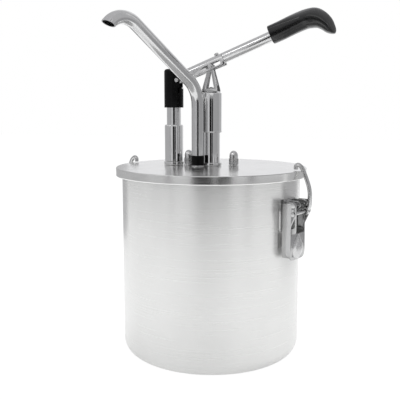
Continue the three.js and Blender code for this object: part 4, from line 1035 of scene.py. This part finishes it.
for number, turn in ((1, -20), (2, 160)):
    latch_at = Matrix.Rotation(math.radians(turn), 4, "Z")
    prefix = "latch_" + str(number)
    lever_body = prefix + "_lever_body"
    dress(refined(prefix + "_base_plate", prefix + "_base", 0.25),
          "root", "brushed_pot_steel", latch_steel, prefix + "_base")
    dress(refined(prefix + "_lever_folded", prefix + "_lever", 0.3),
          lever_body, "polished_steel", latch_steel, prefix + "_lever")
    pressed = bmesh.new()
    rings = []
    for share, rise in drop_rings:
        ring = [(y * share, drop_middle + (z - drop_middle) * share) for y, z in drop_outline]
        rings.append([pressed.verts.new((web_face + rise, y, z)) for y, z in ring])
    for first, second in zip(rings, rings[1:]):
        for i in range(drop_sides):
            j = (i + 1) % drop_sides
            pressed.faces.new((first[i], first[j], second[j], second[i]))
    pressed.faces.new(rings[0])
    pressed.faces.new(rings[-1])
    drop = made(prefix + "_pressed_drop", pressed, latch_at, 60)
    drop.data.materials.append(plain_steel)
    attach(drop, lever_body)
    for which, height in rivet_heights.items():
        lay = latch_at @ Matrix.Translation((rivet_seat, 0, height)) @ Matrix.Rotation(math.pi / 2, 4, "Y")
        dress(turned(prefix + "_rivet_head_" + which, rivet_outline, 32, lay),
              "root", "polished_steel", polished_steel, prefix + "_rivet_" + which)
    for label, inner, outer, end in (
        ("far", pin_inner, pin_outer, pin_head_end),
        ("near", -pin_inner, -pin_outer, -pin_head_end),
    ):
        shank_ends = sorted((inner, outer))
        head_ends = sorted((outer, end))
        shank = bar_across(
            prefix + "_fulcrum_turned_" + label, 1.2, *shank_ends, pin_line, fulcrum_height, latch_at
        )
        head = bar_across("head", 2.4, *head_ends, pin_line, fulcrum_height, latch_at)
        dress(fused(shank, head), lever_body, "plain_steel", plain_steel, prefix + "_fulcrum_" + label)
    pin = bar_across(
        prefix + "_hook_pin_turned", 1.5, -pin_outer, pin_outer, pin_line, hook_pin_height, latch_at
    )
    pin_heads = [
        bar_across("head", 2.1, -pin_head_end, -pin_outer, pin_line, hook_pin_height, latch_at),
        bar_across("head", 2.1, pin_outer, pin_head_end, pin_line, hook_pin_height, latch_at),
    ]
    dress(fused(pin, *pin_heads), lever_body, "plain_steel", plain_steel, prefix + "_hook_pin")
    hook_route = [
        (pin_line + 1.8, hook_pin_height + 1.8),
        (hook_out - 0.5, hook_pin_height + 3.9),
        (hook_out, hook_pin_height + 6.5),
        (hook_out, hook_pin_height + 14),
        *eased_rows(hook_lean, 3),
        *arc(hook_tip + hook_bend / 2, hook_top - hook_bend / 2, hook_bend / 2, 90, 180, 8),
        (hook_tip, lid_top + 0.9),
        (hook_tip, lid_top + 0.3),
    ]
    hook_places = []
    for i, (x, z) in enumerate(hook_route):
        x0, z0 = hook_route[max(i - 1, 0)]
        x1, z1 = hook_route[min(i + 1, len(hook_route) - 1)]
        hook_places.append((x, z, math.degrees(math.atan2(z1 - z0, x1 - x0))))
    wire_at = latch_at @ Matrix.Translation((0, hook_offset, 0))
    wire = swept(prefix + "_hook_wire", hook_places, hook_wire, 28, wire_at)
    lay = wire_at @ Matrix.Translation((pin_line, 0, hook_pin_height)) @ Matrix.Rotation(-math.pi / 2, 4, "X")
    eye = turned("eye", eye_outline, 40, lay)
    dress(fused(wire, eye), prefix + "_hook_body", "polished_steel", plain_steel, prefix + "_hook")

# Return spring.
# One unbroken steel helix round the piston's rod, from the guide tube's shoulder to the sleeve's cap.
# Geometry Nodes wind it.
coil, coil_in, coil_out = new_group(
    "coil",
    [
        ("Turns", "INPUT", "NodeSocketFloat", 8.0),
        ("Radius", "INPUT", "NodeSocketFloat", 0.0058),
        ("Wire", "INPUT", "NodeSocketFloat", 0.0008),
        ("Foot", "INPUT", "NodeSocketFloat", 0.19),
        ("Height", "INPUT", "NodeSocketFloat", 0.06),
        ("Finish", "INPUT", "NodeSocketMaterial", None),
        ("Geometry", "OUTPUT", "NodeSocketGeometry", None),
    ],
    "GeometryNodeTree",
)
coil_path = coil.nodes.new("GeometryNodeCurveSpiral")
coil_path.inputs["Resolution"].default_value = 28
coil_round = coil.nodes.new("GeometryNodeCurvePrimitiveCircle")
coil_round.inputs["Resolution"].default_value = 12
coil_wire = coil.nodes.new("GeometryNodeCurveToMesh")
coil_wire.inputs["Fill Caps"].default_value = True
coil_place = coil.nodes.new("ShaderNodeCombineXYZ")
coil_lift = coil.nodes.new("GeometryNodeTransform")
coil_smooth = coil.nodes.new("GeometryNodeSetShadeSmooth")
coil_real = coil.nodes.new("GeometryNodeRealizeInstances")
coil_paint = coil.nodes.new("GeometryNodeSetMaterial")
coil.links.new(coil_in.outputs["Turns"], coil_path.inputs["Rotations"])
coil.links.new(coil_in.outputs["Radius"], coil_path.inputs["Start Radius"])
coil.links.new(coil_in.outputs["Radius"], coil_path.inputs["End Radius"])
coil.links.new(coil_in.outputs["Height"], coil_path.inputs["Height"])
coil.links.new(coil_in.outputs["Wire"], coil_round.inputs["Radius"])
coil.links.new(coil_path.outputs["Curve"], coil_wire.inputs["Curve"])
coil.links.new(coil_round.outputs["Curve"], coil_wire.inputs["Profile Curve"])
coil.links.new(coil_in.outputs["Foot"], coil_place.inputs["Z"])
coil.links.new(coil_place.outputs[0], coil_lift.inputs["Translation"])
coil.links.new(coil_wire.outputs["Mesh"], coil_lift.inputs["Geometry"])
coil.links.new(coil_lift.outputs["Geometry"], coil_smooth.inputs["Geometry"])
coil.links.new(coil_smooth.outputs["Geometry"], coil_real.inputs["Geometry"])
coil.links.new(coil_real.outputs["Geometry"], coil_paint.inputs["Geometry"])
coil.links.new(coil_in.outputs["Finish"], coil_paint.inputs["Material"])
coil.links.new(coil_paint.outputs["Geometry"], coil_out.inputs["Geometry"])

spring_wire = 0.8
spring_foot = low("return_spring")
spring_length = high("return_spring") - spring_foot
spring_turns = {
    "Turns": 8.0,
    "Radius": 5.8 * mm,
    "Wire": spring_wire * mm,
    "Foot": (spring_foot + spring_wire) * mm,
    "Height": (spring_length - 2 * spring_wire) * mm,
    "Finish": plain_steel,
}
spring = grown("return_spring_wound", coil, spring_turns)
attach(spring, "root")
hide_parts("return_spring")
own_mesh(spring)

# Inside the pot.
# The pump hangs from the head plate: barrel, piston, inlet valve and discharge pipe, with nuts and seals.
# These keep their CAD solids, and each takes the finish that its record names.
finish_of = {
    "brushed_pot_steel": pot_steel,
    "polished_steel": polished_steel,
    "plain_steel": plain_steel,
    "black_plastic": black_plastic,
    "pale_nylon": pale_nylon,
    "seal_rubber": seal_rubber,
}
for subpart in frame["record"]["subparts"]:
    solid = frame["nodes"][subpart["node"]]
    if not solid.hide_render:
        solid.data.materials.clear()
        solid.data.materials.append(finish_of[subpart["material_slot"]])
